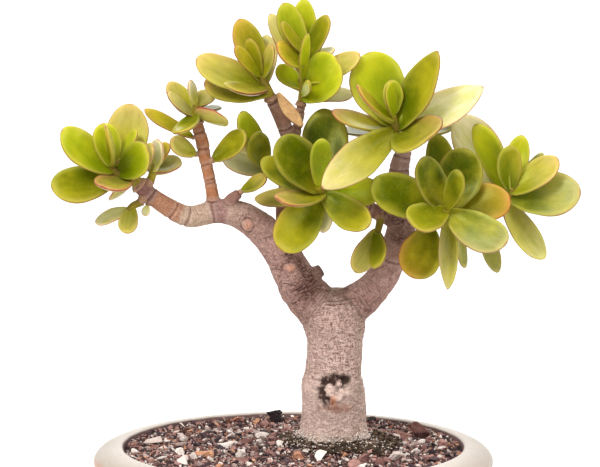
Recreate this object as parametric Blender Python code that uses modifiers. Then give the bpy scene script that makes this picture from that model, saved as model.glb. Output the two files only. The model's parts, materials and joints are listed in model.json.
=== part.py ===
"""A jade plant grown as a bonsai, in a round shallow clay pot.

The pot stands on its foot ring at z = 0. Lengths are in millimetres and are turned into metres when a
mesh is made. Places are measured from the pot's own axis: across (to the right), depth (away from the
viewer) and height. At the end the whole object is moved sideways, so that the middle of its bounding box
is at x = 0, y = 0.
"""

import math
import random

import bmesh
import bpy
from mathutils import Matrix, Vector
from mathutils.bvhtree import BVHTree
from mathutils.noise import noise

MM = 0.001
GAP = 0.3

# Pot
RIM_PROFILE = [
    (98.9, 63.3), (100.4, 64.3), (104.0, 64.1), (108.5, 62.9), (112.6, 60.8), (115.3, 57.8), (116.0, 54.6),
    (114.4, 51.2), (110.5, 49.0),
]
FLOOR_TOP = 15.0
FOOT_RADIUS = 80.0
FOOT_HEIGHT = 7.0
FOOT_WIDTH = 9.0
DRAIN_RADIUS = 9.0
POT_STEPS = 36
INNER = [(98.4, 62.0), (98.0, 50.0), (94.5, 35.0), (85.5, 21.5), (70.0, FLOOR_TOP)]

# Soil
SOIL_AT_WALL = 60.0
SOIL_RISE = 4.4
SOIL_RINGS = 7
STONES = 38
STONE_SEED = 7

# Screen over the drain hole
SCREEN_SIDE = 34.0
SCREEN_THICK = 1.2
SCREEN_HOLES = 4
SCREEN_HOLE = 5.6

# Trunk
TRUNK_X = 23.0
TRUNK_Y = 12.0
TRUNK_SIDES = 20
BURIED_RADIUS = 20.6
BURIED_BOTTOM = 34.0

# Leaves
LEAF_THICK = 3.8
LEAF_STATIONS = (0.0, 0.16, 0.36, 0.6, 0.82, 0.95)
LEAF_FOOT = 0.3
LEAF_SHAPES = {"round": (0.6, 2.1, 0.55), "pointed": (0.52, 1.75, 0.72)}
LEAF_BOW = 0.09
LEAF_CUP = 0.12
CLEARANCE = 0.45
VIEW_SLOPE = 0.127

# Routes of the wood, hand-measured: across, depth, height, thickness
TRUNK = [
    (23, 12, 66, 41), (23, 12, 74, 38.5), (23, 12, 85, 37.6), (22.5, 12, 97, 35.5), (23.5, 12, 111, 32.3),
    (24, 12, 121, 32.6), (24, 12, 129, 35), (23, 12, 138, 38), (23, 12, 146, 34), (23.5, 12, 151, 24),
    (24, 12, 153, 12),
]
LIMBS = {
    "left_limb": [
        (25, 12, 134, 26), (13.5, 11, 144, 27.5), (5.6, 9, 153.5, 24.5), (-1.5, 6, 165.5, 22.5),
        (-8, 3, 178, 20.5), (-18, 0, 190, 18.5), (-29, -3, 198, 16.5), (-39, -5, 201, 14.5),
        (-46, -6, 201, 13.5),
        (-52, -7, 199.5, 12.8), (-59, -9, 198.5, 12.4), (-66, -11, 201, 11.5), (-74, -13, 206, 10.5),
        (-82, -15, 212, 9.6), (-88, -17, 218, 9),
    ],
    "upright_stem": [
        (-45, -6, 198, 9), (-46, -6, 208, 7.8), (-47, -6, 215, 7), (-49, -6, 225, 6.9),
        (-51, -6, 234, 7.3), (-52, -6, 241, 7.6), (-54, -6, 248, 7), (-55, -6, 253, 6.4),
    ],
    "top_stem": [
        (-10, 3, 181, 13), (-5, 9, 190, 11.5), (-5, 14, 202, 10.5), (-3, 16, 217, 10), (-1, 16, 230, 9.6),
        (-2, 13, 240, 9.2), (-6, 9, 251, 8.6), (-10, 6, 260, 8), (-13, 4, 266, 7.4),
    ],
    "crown_stem": [
        (-1, 15, 234, 7), (2, 14, 246, 5.6), (4, 13, 256, 5.2), (4.5, 12, 262, 5),
    ],
    "right_limb": [
        (23, 12, 134, 26), (34.5, 12, 144, 23.5), (43.5, 11, 151.5, 20), (52, 9, 161.5, 18),
        (57, 7, 174, 17.2), (61, 5, 185, 16.6), (63, 4, 195, 15.8), (63, 3, 206, 14.4), (61, 2, 216, 13),
        (61, 0, 226, 11.5), (63, -2, 235, 9.6), (62, -3, 241, 8),
    ],
    "centre_stem": [
        (62, 4, 193, 10), (50, 2, 199, 9), (36, -2, 205, 8.2), (24, -6, 209, 7.4),
    ],
    "right_stem": [
        (64, 3, 198, 11), (77, 3, 197, 10), (92, 1, 197, 9), (106, -2, 201, 8), (117, -5, 207, 7),
    ],
    "right_twig": [
        (82, 2, 197, 8), (86, -8, 199, 7.4), (88, -16, 202, 6.8),
    ],
    "left_stub": [
        (-39, -6, 202, 9), (-35.5, -7.5, 208, 7.4), (-31, -8.8, 212, 5.6),
    ],
    "saddle": [
        (11, 12, 145, 20), (18, 12, 143, 23.5), (25, 12, 142.5, 24.5), (32, 12, 143.5, 23), (38, 12, 146.5, 20),
    ],
    "old_stub": [
        (4, 8, 157, 12), (11, 9, 162, 9.5), (16.5, 9, 165.5, 7),
    ],
}

# Leafy shoots. The stem is a route like the wood's. A leaf is: how far along the stem it is rooted,
# then where its tip is seen (across, depth, and height face-on), its width, and the way its upper
# side looks (right, away, up).
SHOOTS = {
    "far_left": {
        "stem": [
            (-88.6, -17.2, 218.6, 7.4), (-90.6, -17.9, 220.4, 7), (-96, -20, 222.5, 6), (-101.5, -22, 226, 5),
            (-104, -23, 231, 3.6),
        ],
        "leaves": [
            (0.70, -130.5, -32, 246.0, 23, (0.5, -0.8, 0.5)),
            (0.55, -136.5, -32, 213.5, 26, (0.0, -0.75, 0.65)),
            (0.85, -112.0, -24, 249.5, 17, (0.35, -0.9, 0.2)),
            (0.90, -108.5, -32, 254.0, 15, (-0.9, -0.35, 0.3)),
            (0.55, -93.0, -4, 262.5, 24, (0.0, -1.0, 0.1)),
            (0.90, -98.0, -19, 251.5, 12, (-0.8, -0.6, 0.1)),
            (0.60, -84.5, -38, 241.5, 20, (-0.35, -0.85, 0.35)),
            (0.32, -79.5, -24, 239.5, 20, (-0.85, -0.4, 0.3)),
            (0.30, -106.0, -50, 213.5, 20, (0.1, -0.5, 0.85)),
            (0.25, -104.5, -4, 208.0, 13, (0.0, -0.4, 0.9)),
            (0.55, -112.0, 12, 236.0, 20, (0.1, -0.4, 0.9)),
        ],
    },
    "low_left": {
        "stem": [(-87.2, -18.0, 207.6, 4.6), (-91, -19.5, 206, 4.2), (-94, -20, 203.5, 3.2)],
        "leaves": [
            (0.60, -94.5, -27, 187.5, 12, (-0.2, -1.0, 0.1)),
            (0.90, -113.0, -17, 194.0, 10, (0.0, -0.75, 0.65)),
        ],
    },
    "left_side": {
        "stem": [(-81.3, -15.8, 219.9, 5), (-80, -15, 224, 4.6), (-79, -14, 229, 3.4)],
        "leaves": [
            (0.55, -76.5, -18, 241.5, 15, (-0.8, -0.6, 0.1)),
            (0.85, -71.5, -12, 240.5, 13, (-0.75, -0.6, 0.2)),
            (0.55, -66.5, -6, 235.5, 16, (-0.5, -0.8, 0.3)),
            (0.60, -79.0, 8, 240, 14, (0.1, -0.6, 0.8)),
        ],
    },
    "upright": {
        "stem": [(-55.1, -6, 253.7, 5.6), (-55.6, -6, 258, 5), (-55.5, -6, 264, 3.6)],
        "leaves": [
            (0.15, -71.5, -14, 268.5, 8, (0.85, -0.5, 0.2)),
            (0.10, -78.0, 6, 261.5, 13, (0.2, -0.8, 0.6)),
            (0.80, -58.6, -12, 275.5, 8, (0.8, -0.6, 0.0)),
            (0.75, -46.5, 2, 270.0, 11, (-0.3, -0.9, 0.2)),
            (0.35, -64.5, -26, 242.0, 15, (-0.4, -0.6, 0.7)),
            (0.50, -37.0, -20, 252.0, 15, (-0.1, 0.72, 0.68)),
            (0.45, -44.0, 16, 262, 14, (-0.2, -0.3, 0.9)),
        ],
    },
    "top_left": {
        "stem": [(-13.2, 3.8, 266.6, 6), (-16, 2, 273, 5.4), (-18.5, 0, 279, 3.8)],
        "leaves": [
            (0.60, -31.0, 2, 311.3, 18, (0.3, -0.95, 0.1)),
            (0.45, -55.5, -12, 286.5, 24, (0.15, -0.7, 0.7)),
            (0.90, -33.0, -18, 294.0, 9, (0.7, -0.7, 0.2)),
            (0.95, -27.0, -13, 295.5, 9, (-0.4, -0.9, 0.0)),
            (0.15, -48.0, -14, 260.0, 20, (0.15, -0.85, 0.5)),
            (0.35, -38.0, -30, 271.5, 14, (0.15, -0.5, 0.85)),
            (0.85, -14.5, -14, 295.0, 9, (-0.7, -0.7, 0.1)),
            (0.55, -15.5, 14, 303.0, 13, (-0.2, -0.9, 0.2)),
            (0.30, -36.0, 30, 283.0, 18, (0.1, -0.3, 0.95)),
        ],
    },
    "top_side": {
        "stem": [(-8.6, 13, 219.5, 5), (-13, 10, 223.5, 4.6), (-17, 7, 227.5, 3.6)],
        "leaves": [
            (0.70, -30.0, -2, 258.0, 15, (0.35, -0.85, 0.4)),
            (0.35, -41.0, 0, 232.0, 16, (0.2, -0.7, 0.7)),
            (0.80, -23.0, -8, 244.5, 17, (0.3, -0.9, 0.3)),
            (0.50, -30.0, 24, 240.0, 15, (0.1, -0.6, 0.8)),
        ],
    },
    "top_centre": {
        "stem": [(4.6, 11.9, 262.6, 4.6), (6, 9, 274, 4.4), (7.5, 7, 284, 4.2), (9, 5, 292, 3.2)],
        "leaves": [
            (0.75, -5.5, 2, 320.5, 16, (0.25, -0.95, 0.1)),
            (0.65, 6.0, 11, 324.0, 15, (0.0, -1.0, 0.1)),
            (0.80, 19.5, 3, 313.5, 14, (-0.7, -0.65, 0.1)),
            (0.55, -17.5, 16, 313.0, 12, (0.3, -0.9, 0.2)),
            (0.90, -11.5, -2, 308.0, 8, (0.6, -0.7, 0.3)),
            (0.75, -9.5, -12, 297.0, 16, (0.15, -0.8, 0.6)),
            (0.30, 0.8, -18, 297.0, 8, (0.4, -0.9, 0.1)),
            (0.08, 25.5, -14, 286.5, 27, (-0.3, -0.92, 0.25)),
            (0.85, 24.0, 8, 295.0, 10, (-0.4, -0.5, 0.75)),
            (0.40, 36.0, -2, 293.0, 17, (-0.35, -0.65, 0.65)),
            (0.25, -8.5, 18, 286.0, 13, (0.3, -0.8, 0.5)),
            (0.14, 35.0, 12, 269.0, 12, (-0.2, -0.7, 0.7)),
            (0.12, 9.0, -14, 274.0, 7, (-0.3, -0.9, 0.2)),
            (0.35, 14.0, 38, 292.0, 18, (0.0, -0.4, 0.9)),
        ],
    },
    "top_right": {
        "stem": [
            (61.9, -3.1, 241.5, 6.8), (61.3, -3.7, 244.8, 6.4), (59, -5.5, 248.5, 5.8), (57.5, -7, 252.5, 5),
            (57, -8, 257, 3.8),
        ],
        "leaves": [
            (0.55, 43.0, 6, 292.5, 32, (0.1, -1.0, 0.1)),
            (0.45, 78.0, -12, 295.0, 25, (-0.7, -0.72, 0.1), "pointed"),
            (0.40, 108.5, -8, 272.0, 24, (-0.05, -0.8, 0.6), "pointed"),
            (0.45, 16.0, -56, 213.0, 22, (0.4, -0.8, 0.45), "pointed"),
            (0.35, 76.0, -44, 241.0, 33, (-0.5, -0.45, 0.75)),
            (0.90, 55.0, -16, 275.0, 11, (0.75, -0.65, 0.0)),
            (0.95, 62.0, -8, 275.5, 12, (0.1, -0.95, 0.0)),
            (0.75, 36.0, -28, 271.0, 16, (0.6, -0.3, 0.75)),
            (0.40, 22.0, -2, 258.5, 18, (0.1, -0.45, 0.9)),
            (0.30, 88.0, 27, 243.0, 19, (-0.1, -0.6, 0.8)),
            (0.50, 62.0, 40, 262.0, 24, (0.0, -0.5, 0.9)),
            (0.40, 30.0, 28, 250.0, 20, (0.2, -0.5, 0.85)),
        ],
    },
    "centre": {
        "stem": [
            (23.5, -6.2, 209.2, 6.4), (20.6, -7.3, 210.4, 6.2), (16, -13, 213, 5), (14, -17, 217, 3.6),
        ],
        "leaves": [
            (0.70, -8.5, -32, 241.0, 26, (0.35, -0.9, 0.3)),
            (0.55, -18.5, -12, 230.0, 20, (0.25, -0.75, 0.6)),
            (0.45, -8.5, -46, 206.5, 19, (0.05, -0.4, 0.9)),
            (0.45, 17.5, 12, 260.5, 27, (-0.05, -0.98, 0.15)),
            (0.95, 16.0, -30, 241.5, 13, (0.1, -1.0, 0.15)),
            (0.60, 51.5, -18, 212.0, 18, (-0.2, -0.9, 0.4)),
            (0.60, 44.0, -34, 189.0, 19, (-0.2, -0.85, 0.5)),
            (0.35, 17.0, -18, 188.0, 11, (-0.6, -0.8, 0.1)),
            (0.60, -7.5, -40, 178.5, 25, (0.15, -1.0, 0.15)),
            (0.30, -23.0, 2, 198.5, 14, (0.1, -0.75, 0.65)),
            (0.45, 6.0, 26, 232.0, 20, (0.0, -0.6, 0.8)),
        ],
    },
    "hanging": {
        "stem": [(50, -3.4, 195.5, 4.6), (49, -7, 192, 4.2), (48, -10, 188, 3.2)],
        "leaves": [
            (0.60, 35.5, -12, 165.0, 16, (0.45, -0.8, 0.2)),
            (0.85, 41.5, -18, 166.0, 15, (-0.75, -0.6, 0.1)),
        ],
    },
    "right": {
        "stem": [
            (88.1, -16.4, 202.2, 6), (88.6, -18.9, 202.8, 5.8), (88.2, -22.5, 202.6, 5.4),
            (87, -27, 203, 4.8), (86.5, -32, 205.8, 3.6),
        ],
        "leaves": [
            (0.60, 44.0, -28, 216.5, 26, (0.3, -0.9, 0.35)),
            (0.65, 72.0, -38, 230.5, 20, (0.4, -0.9, 0.2)),
            (0.95, 93.0, -46, 223.0, 13, (-0.5, -0.85, 0.1)),
            (0.45, 98.0, -18, 236.5, 27, (-0.1, -1.0, 0.15)),
            (0.45, 122.0, -30, 209.5, 26, (-0.3, -0.75, 0.55)),
            (0.70, 119.0, -54, 181.5, 23, (-0.1, -0.85, 0.55)),
            (0.80, 64.5, -52, 194.5, 20, (0.1, -0.8, 0.6)),
            (0.40, 87.5, -32, 155.5, 16, (-0.75, -0.65, 0.0), "pointed"),
            (0.20, 80.0, 10, 238.0, 18, (0.1, -0.8, 0.5)),
        ],
    },
    "far_right": {
        "stem": [
            (117.5, -5.2, 207.4, 6.2), (120.5, -6, 209, 5.8), (123.5, -7, 211, 4.8), (125.5, -7.5, 215, 3.6),
        ],
        "leaves": [
            (0.50, 95.0, 12, 256.0, 26, (-0.35, -0.85, 0.4)),
            (0.55, 107.5, 2, 252.0, 18, (-0.65, -0.75, 0.1)),
            (0.80, 119.0, -10, 239.5, 17, (0.4, -0.9, 0.15)),
            (0.75, 127.5, 6, 245.5, 14, (0.0, -1.0, 0.2)),
            (0.45, 164.0, -16, 211.0, 28, (-0.05, -0.92, 0.45)),
            (0.70, 149.5, -10, 233.5, 19, (-0.45, -0.75, 0.5)),
            (0.85, 144.0, 9, 238.0, 13, (-0.6, -0.4, 0.7)),
            (0.25, 140.5, -16, 170.5, 20, (0.5, -0.75, 0.4)),
            (0.45, 132.0, 34, 226.0, 22, (-0.1, -0.4, 0.9)),
        ],
    },
}

# Leaves that grow straight from the wood: root (across, depth, height), then tip, width and facing
LONE_LEAVES = {
    "upright_leaf_left": ((-56.0, -7.6, 234.0), -70.0, -14, 241.0, 13, (0.1, -0.8, 0.6)),
    "upright_leaf_right": ((-45.6, -8.2, 231.0), -28.5, -12, 248.0, 16, (-0.5, -0.75, 0.45)),
    "upright_leaf_back": ((-57.4, -3.6, 243.5), -84.0, -6, 260.5, 9, (0.35, -0.85, 0.4)),
    "stub_leaf": ((-29.0, -9.6, 213.6), -15.0, -15, 220.5, 12, (-0.3, -0.6, 0.75)),
    "tiny_leaf": ((-83.1, -15.7, 206.1), -84.5, -18, 197.5, 5, (0.0, -1.0, 0.1)),
    "right_low_leaf": ((79.0, -4.6, 192.4), 68.0, -18, 162.0, 25, (0.15, -1.0, 0.1)),
    "right_under_leaf": ((106.5, -6.0, 195.0), 117.5, -10, 165.0, 10, (0.1, -1.0, 0.2)),
    "right_back_leaf": ((96.0, -4.0, 191.0), 98.5, -8, 167.5, 9, (0.7, -0.7, 0.0)),
}
DRY_LEAF = ((-9.0, 0.2, 268.5), 5.0, -10, 248.5, 8, (0.4, -0.9, 0.1))

SWINGS = (0, 7, -7, 14, -14, 22, -22, 30, -30)
LIFTS = (0, 7, -7, 14, -14, 22, -22, 32, -32)


def clean_scene():
    for item in list(bpy.data.objects):
        bpy.data.objects.remove(item, do_unlink=True)


def material(name, colour, roughness, metallic=0.0):
    made = bpy.data.materials.new(name)
    made.use_nodes = True
    shader = made.node_tree.nodes["Principled BSDF"]
    shader.inputs["Base Color"].default_value = (*colour, 1.0)
    shader.inputs["Roughness"].default_value = roughness
    shader.inputs["Metallic"].default_value = metallic
    made.diffuse_color = (*colour, 1.0)
    return made


def add_object(name, verts, faces, collection, look=None):
    """A mesh object from points in millimetres."""
    mesh = bpy.data.meshes.new(name)
    mesh.from_pydata([Vector(v) * MM for v in verts], [], faces)
    mesh.validate()
    made = bpy.data.objects.new(name, mesh)
    collection.objects.link(made)
    if look:
        mesh.materials.append(look)
    shape = bmesh.new()
    shape.from_mesh(mesh)
    bmesh.ops.recalc_face_normals(shape, faces=shape.faces)
    shape.to_mesh(mesh)
    shape.free()
    return made


def apply_modifiers(made):
    """Replaces the object's mesh by its evaluated one."""
    graph = bpy.context.evaluated_depsgraph_get()
    graph.update()
    shaped = bpy.data.meshes.new_from_object(made.evaluated_get(graph))
    made.modifiers.clear()
    made.data = shaped


def largest_body(made):
    """Drops loose scrap that a union can leave beside the main body."""
    shape = bmesh.new()
    shape.from_mesh(made.data)
    bmesh.ops.remove_doubles(shape, verts=shape.verts, dist=0.00001)
    bmesh.ops.triangulate(shape, faces=shape.faces)
    shape.verts.ensure_lookup_table()
    group = [-1] * len(shape.verts)
    sizes = []
    for start in shape.verts:
        if group[start.index] >= 0:
            continue
        stack = [start]
        group[start.index] = len(sizes)
        members = 0
        while stack:
            vert = stack.pop()
            members += 1
            for edge in vert.link_edges:
                other = edge.other_vert(vert)
                if group[other.index] < 0:
                    group[other.index] = len(sizes)
                    stack.append(other)
        sizes.append(members)
    keep = sizes.index(max(sizes))
    loose = [v for v in shape.verts if group[v.index] != keep]
    bmesh.ops.delete(shape, geom=loose, context="VERTS")
    shape.to_mesh(made.data)
    shape.free()


def join_bodies(body, others, solver="EXACT"):
    """One Boolean union of the body with a collection of repeats, applied."""
    group = bpy.data.collections.new(body.name + "_repeats")
    bpy.context.scene.collection.children.link(group)
    for other in others:
        for holder in list(other.users_collection):
            holder.objects.unlink(other)
        group.objects.link(other)
    union = body.modifiers.new("join", "BOOLEAN")
    union.operation = "UNION"
    union.solver = solver
    union.operand_type = "COLLECTION"
    union.collection = group
    apply_modifiers(body)
    for other in list(group.objects):
        bpy.data.objects.remove(other, do_unlink=True)
    bpy.data.collections.remove(group)
    largest_body(body)


def smooth_route(points, steps):
    """Points along a Catmull-Rom curve through the route; the fourth number is the thickness."""
    rows = [Vector(p) for p in points]
    rows = [rows[0] * 2 - rows[1]] + rows + [rows[-1] * 2 - rows[-2]]
    out = []
    for i in range(1, len(rows) - 2):
        a, b, c, d = rows[i - 1:i + 3]
        for k in range(steps):
            t = k / steps
            out.append(0.5 * ((2 * b) + (c - a) * t + (2 * a - 5 * b + 4 * c - d) * t * t
                              + (3 * b - a - 3 * c + d) * t * t * t))
    out.append(rows[-2])
    return out


def tube(points, sides):
    """A round stem of changing thickness: a curve with a bevel and filled ends, as points and faces."""
    curve = bpy.data.curves.new("stem", "CURVE")
    curve.dimensions = "3D"
    curve.bevel_depth = 0.5
    curve.bevel_resolution = (sides - 4) // 2
    curve.use_fill_caps = True
    line = curve.splines.new("POLY")
    line.points.add(len(points) - 1)
    for point, (x, y, z, thick) in zip(line.points, points):
        point.co = (x, y, z, 1.0)
        point.radius = thick
    holder = bpy.data.objects.new("stem", curve)
    shape = bmesh.new()
    shape.from_mesh(bpy.data.meshes.new_from_object(holder))
    bmesh.ops.remove_doubles(shape, verts=shape.verts, dist=0.001)
    verts = [vert.co.copy() for vert in shape.verts]
    faces = [tuple(vert.index for vert in face.verts) for face in shape.faces]
    shape.free()
    bpy.data.objects.remove(holder, do_unlink=True)
    bpy.data.curves.remove(curve)
    return verts, faces


def leaf_half_width(t, shape):
    """Share of the half width: a narrow foot, broadest about the middle, then a round or pointed end."""
    widest, bulge, power = LEAF_SHAPES[shape]
    if t < widest:
        return LEAF_FOOT + (1 - LEAF_FOOT) * math.sin(t / widest * math.pi / 2) ** 0.95
    out = (t - widest) / (1 - widest)
    return (1 - out ** bulge) ** power


def leaf(root, tip, width, facing, shape="round", swell=0.0, first=0.0):
    """A fleshy leaf: six-sided sections along an arched midrib, from its root to a blunt tip."""
    length = (tip - root).length
    along = (tip - root).normalized()
    face = Vector(facing)
    face = (face - along * face.dot(along)).normalized()
    bend = (root + tip) / 2 - face * LEAF_BOW * length
    verts = []
    stations = [t for t in LEAF_STATIONS if t >= first]
    for t in stations:
        centre = root * (1 - t) ** 2 + bend * 2 * t * (1 - t) + tip * t * t
        ahead = ((bend - root) * (1 - t) + (tip - bend) * t).normalized()
        side = face.cross(ahead).normalized()
        up = ahead.cross(side)
        half = width / 2 * leaf_half_width(t, shape) + swell
        thick = LEAF_THICK / 2 * (1 - 0.35 * t) * min(1.0, 0.55 + width / 30) + swell
        for x, z in ((-1, 0), (-0.55, 1), (0.55, 1), (1, 0), (0.55, -1), (-0.55, -1)):
            lift = LEAF_CUP * width * (x * x - 0.4) * math.sin(math.pi * min(t + 0.1, 1.0))
            verts.append(centre + side * half * x + up * (thick * z + lift))
    verts.append(tip + along * swell)
    faces = []
    for i in range(len(stations) - 1):
        for k in range(6):
            nxt = (k + 1) % 6
            faces.append((i * 6 + k, i * 6 + nxt, i * 6 + 6 + nxt, i * 6 + 6 + k))
    faces.append((0, 1, 2, 3, 4, 5)[::-1])
    last = (len(stations) - 1) * 6
    for k in range(6):
        faces.append((last + k, last + (k + 1) % 6, len(verts) - 1))
    return verts, faces


def seen(across, depth, height):
    """A place whose height was read face-on, from a little above: what is further back looks higher."""
    return Vector((across, depth, height - VIEW_SLOPE * depth))


def along_route(points, share):
    """The point at a share of a route's length."""
    centres = [Vector(p[:3]) for p in points]
    lengths = [(b - a).length for a, b in zip(centres, centres[1:])]
    left = share * sum(lengths)
    for a, b, length in zip(centres, centres[1:], lengths):
        if left <= length:
            return a.lerp(b, left / length)
        left -= length
    return centres[-1]


def touches(shape, placed):
    """Whether the shape crosses one of the placed ones, which carry their own boxes."""
    tree, low, high = shape
    for other, other_low, other_high in placed:
        apart = any(low[i] > other_high[i] or high[i] < other_low[i] for i in range(3))
        if not apart and tree.overlap(other):
            return True
    return False


def solid_for_test(verts, faces):
    tree = BVHTree.FromPolygons(verts, faces)
    low = [min(v[i] for v in verts) for i in range(3)]
    high = [max(v[i] for v in verts) for i in range(3)]
    return tree, low, high


def settle(root, tip, width, facing, shape, far, near):
    """Turns a leaf about its root, as little as it must, until it is clear of its neighbours.

    far holds what it may not touch at all, near the leaves of its own shoot, where only the outer
    part counts. A leaf with no free way is grown shorter. Returns the leaf, or None.
    """
    turns = sorted(((abs(s) + abs(u), s, u) for s in SWINGS for u in LIFTS))
    along = (tip - root).normalized()
    face = Vector(facing)
    face = (face - along * face.dot(along)).normalized()
    side = face.cross(along)
    for shrink in (1.0, 0.9, 0.78, 0.64):
        for _, swing, lift in turns:
            turn = Matrix.Rotation(math.radians(swing), 3, face)
            turn = turn @ Matrix.Rotation(math.radians(lift), 3, side)
            found = (root, root + turn @ (tip - root) * shrink, width * shrink, turn @ face, shape)
            if touches(solid_for_test(*leaf(*found, CLEARANCE)), far):
                continue
            if near and touches(solid_for_test(*leaf(*found, 0.1, 0.35)), near):
                continue
            return found
    return None


def grow_leaves():
    """Settles every leaf; returns, for each shoot, its leaves as (root, tip, width, facing, shape)."""
    wood = [solid_for_test(*tube(smooth_route(route, 1), 14)) for route in (TRUNK, *LIMBS.values())]
    stems = {name: solid_for_test(*tube(shoot["stem"], 8)) for name, shoot in SHOOTS.items()}
    plan = {name: (None, [row]) for name, row in LONE_LEAVES.items()}
    plan.update({name: (shoot["stem"], shoot["leaves"]) for name, shoot in SHOOTS.items()})
    plan["dry_leaf"] = (None, [DRY_LEAF])
    grown = {}
    settled = []
    for name, (stem, rows) in plan.items():
        far = wood + [stems[other] for other in stems if other != name] + settled
        near = []
        kept = []
        for place, across, depth, height, width, facing, *more in rows:
            tip = seen(across, depth, height)
            root = Vector(place) if stem is None else along_route(stem, place)
            found = settle(root, tip, width, facing, more[0] if more else "round", far, near)
            if found:
                kept.append(found)
                near.append(solid_for_test(*leaf(*found, 0.1, 0.35)))
        settled += [solid_for_test(*leaf(*row)) for row in kept]
        grown[name] = kept
    return grown


def turned(name, profile, collection, look, steps=POT_STEPS):
    """A closed profile of (radius, height) swept round the z axis."""
    verts = [(r, 0.0, z) for r, z in profile]
    mesh = bpy.data.meshes.new(name)
    edges = [(i, i + 1) for i in range(len(verts) - 1)]
    if profile[0][0] > 0:
        edges.append((len(verts) - 1, 0))
    mesh.from_pydata([Vector(v) * MM for v in verts], edges, [])
    made = bpy.data.objects.new(name, mesh)
    collection.objects.link(made)
    screw = made.modifiers.new("turn", "SCREW")
    screw.steps = steps
    screw.render_steps = steps
    screw.use_merge_vertices = True
    screw.merge_threshold = 0.00001
    screw.use_smooth_shade = True
    apply_modifiers(made)
    shape = bmesh.new()
    shape.from_mesh(made.data)
    bmesh.ops.remove_doubles(shape, verts=shape.verts, dist=0.00001)
    bmesh.ops.recalc_face_normals(shape, faces=shape.faces)
    shape.to_mesh(made.data)
    shape.free()
    made.data.materials.append(look)
    return made


def build_pot(collection, look):
    """Outer side from the rim's inner top edge, over the rim, down the wall to the foot, then inside."""
    profile = RIM_PROFILE + [(107.0, 46.0), (103.0, 32.0), (96.0, 19.0), (88.0, 11.0), (FOOT_RADIUS + 1.5, FOOT_HEIGHT)]
    profile += [(FOOT_RADIUS, 0.0), (FOOT_RADIUS - FOOT_WIDTH, 0.0)]
    profile += [(FOOT_RADIUS - FOOT_WIDTH - 1.5, FOOT_HEIGHT), (DRAIN_RADIUS, FOOT_HEIGHT)]
    profile += [(DRAIN_RADIUS, FLOOR_TOP)]
    profile += INNER[::-1]
    return turned("pot", profile, collection, look)


def cut(body, cutter):
    """Takes a cutter out of the body; the cutter stays, in its own collection, out of the render."""
    cutter.hide_render = True
    cutter.display_type = "WIRE"
    difference = body.modifiers.new("cut_" + cutter.name, "BOOLEAN")
    difference.operation = "DIFFERENCE"
    difference.object = cutter


def object_from(shape, name, collection):
    """An object from a bmesh whose lengths are in millimetres."""
    bmesh.ops.scale(shape, vec=(MM, MM, MM), verts=shape.verts)
    mesh = bpy.data.meshes.new(name)
    shape.to_mesh(mesh)
    shape.free()
    made = bpy.data.objects.new(name, mesh)
    collection.objects.link(made)
    return made


def block(name, middle, size, collection, spots=((0.0, 0.0),)):
    """A box, or a group of like boxes set at spots (x, y) round the middle."""
    shape = bmesh.new()
    for x, y in spots:
        place = Matrix.Translation(Vector(middle) + Vector((x, y, 0.0))) @ Matrix.Diagonal((*size, 1.0))
        bmesh.ops.create_cube(shape, size=1.0, matrix=place)
    return object_from(shape, name, collection)


def column(name, radius, low, high, collection):
    """An upright prism on the trunk's axis, with the trunk's own number of sides."""
    shape = bmesh.new()
    place = Matrix.Translation((TRUNK_X, TRUNK_Y, (low + high) / 2))
    bmesh.ops.create_cone(shape, cap_ends=True, segments=TRUNK_SIDES, radius1=radius, radius2=radius,
                          depth=high - low, matrix=place)
    return object_from(shape, name, collection)


def soil_height(x, y):
    """Height of the packed soil: a low mound round the trunk, uneven by a few tenths."""
    from_axis = math.hypot(x, y)
    from_trunk = math.hypot(x - TRUNK_X, y - TRUNK_Y)
    mound = SOIL_RISE * math.exp(-(max(from_trunk - 18.0, 0.0) / 30.0) ** 2)
    edge = max(0.0, 1.0 - (from_axis / 98.0) ** 6)
    uneven = 1.0 * noise(Vector((x, y, 0.0)) * 0.09) + 0.6 * noise(Vector((x, y, 9.0)) * 0.23)
    return SOIL_AT_WALL + (mound + uneven) * edge + 0.8 * (1 - (from_axis / 98.0) ** 2)


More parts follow.
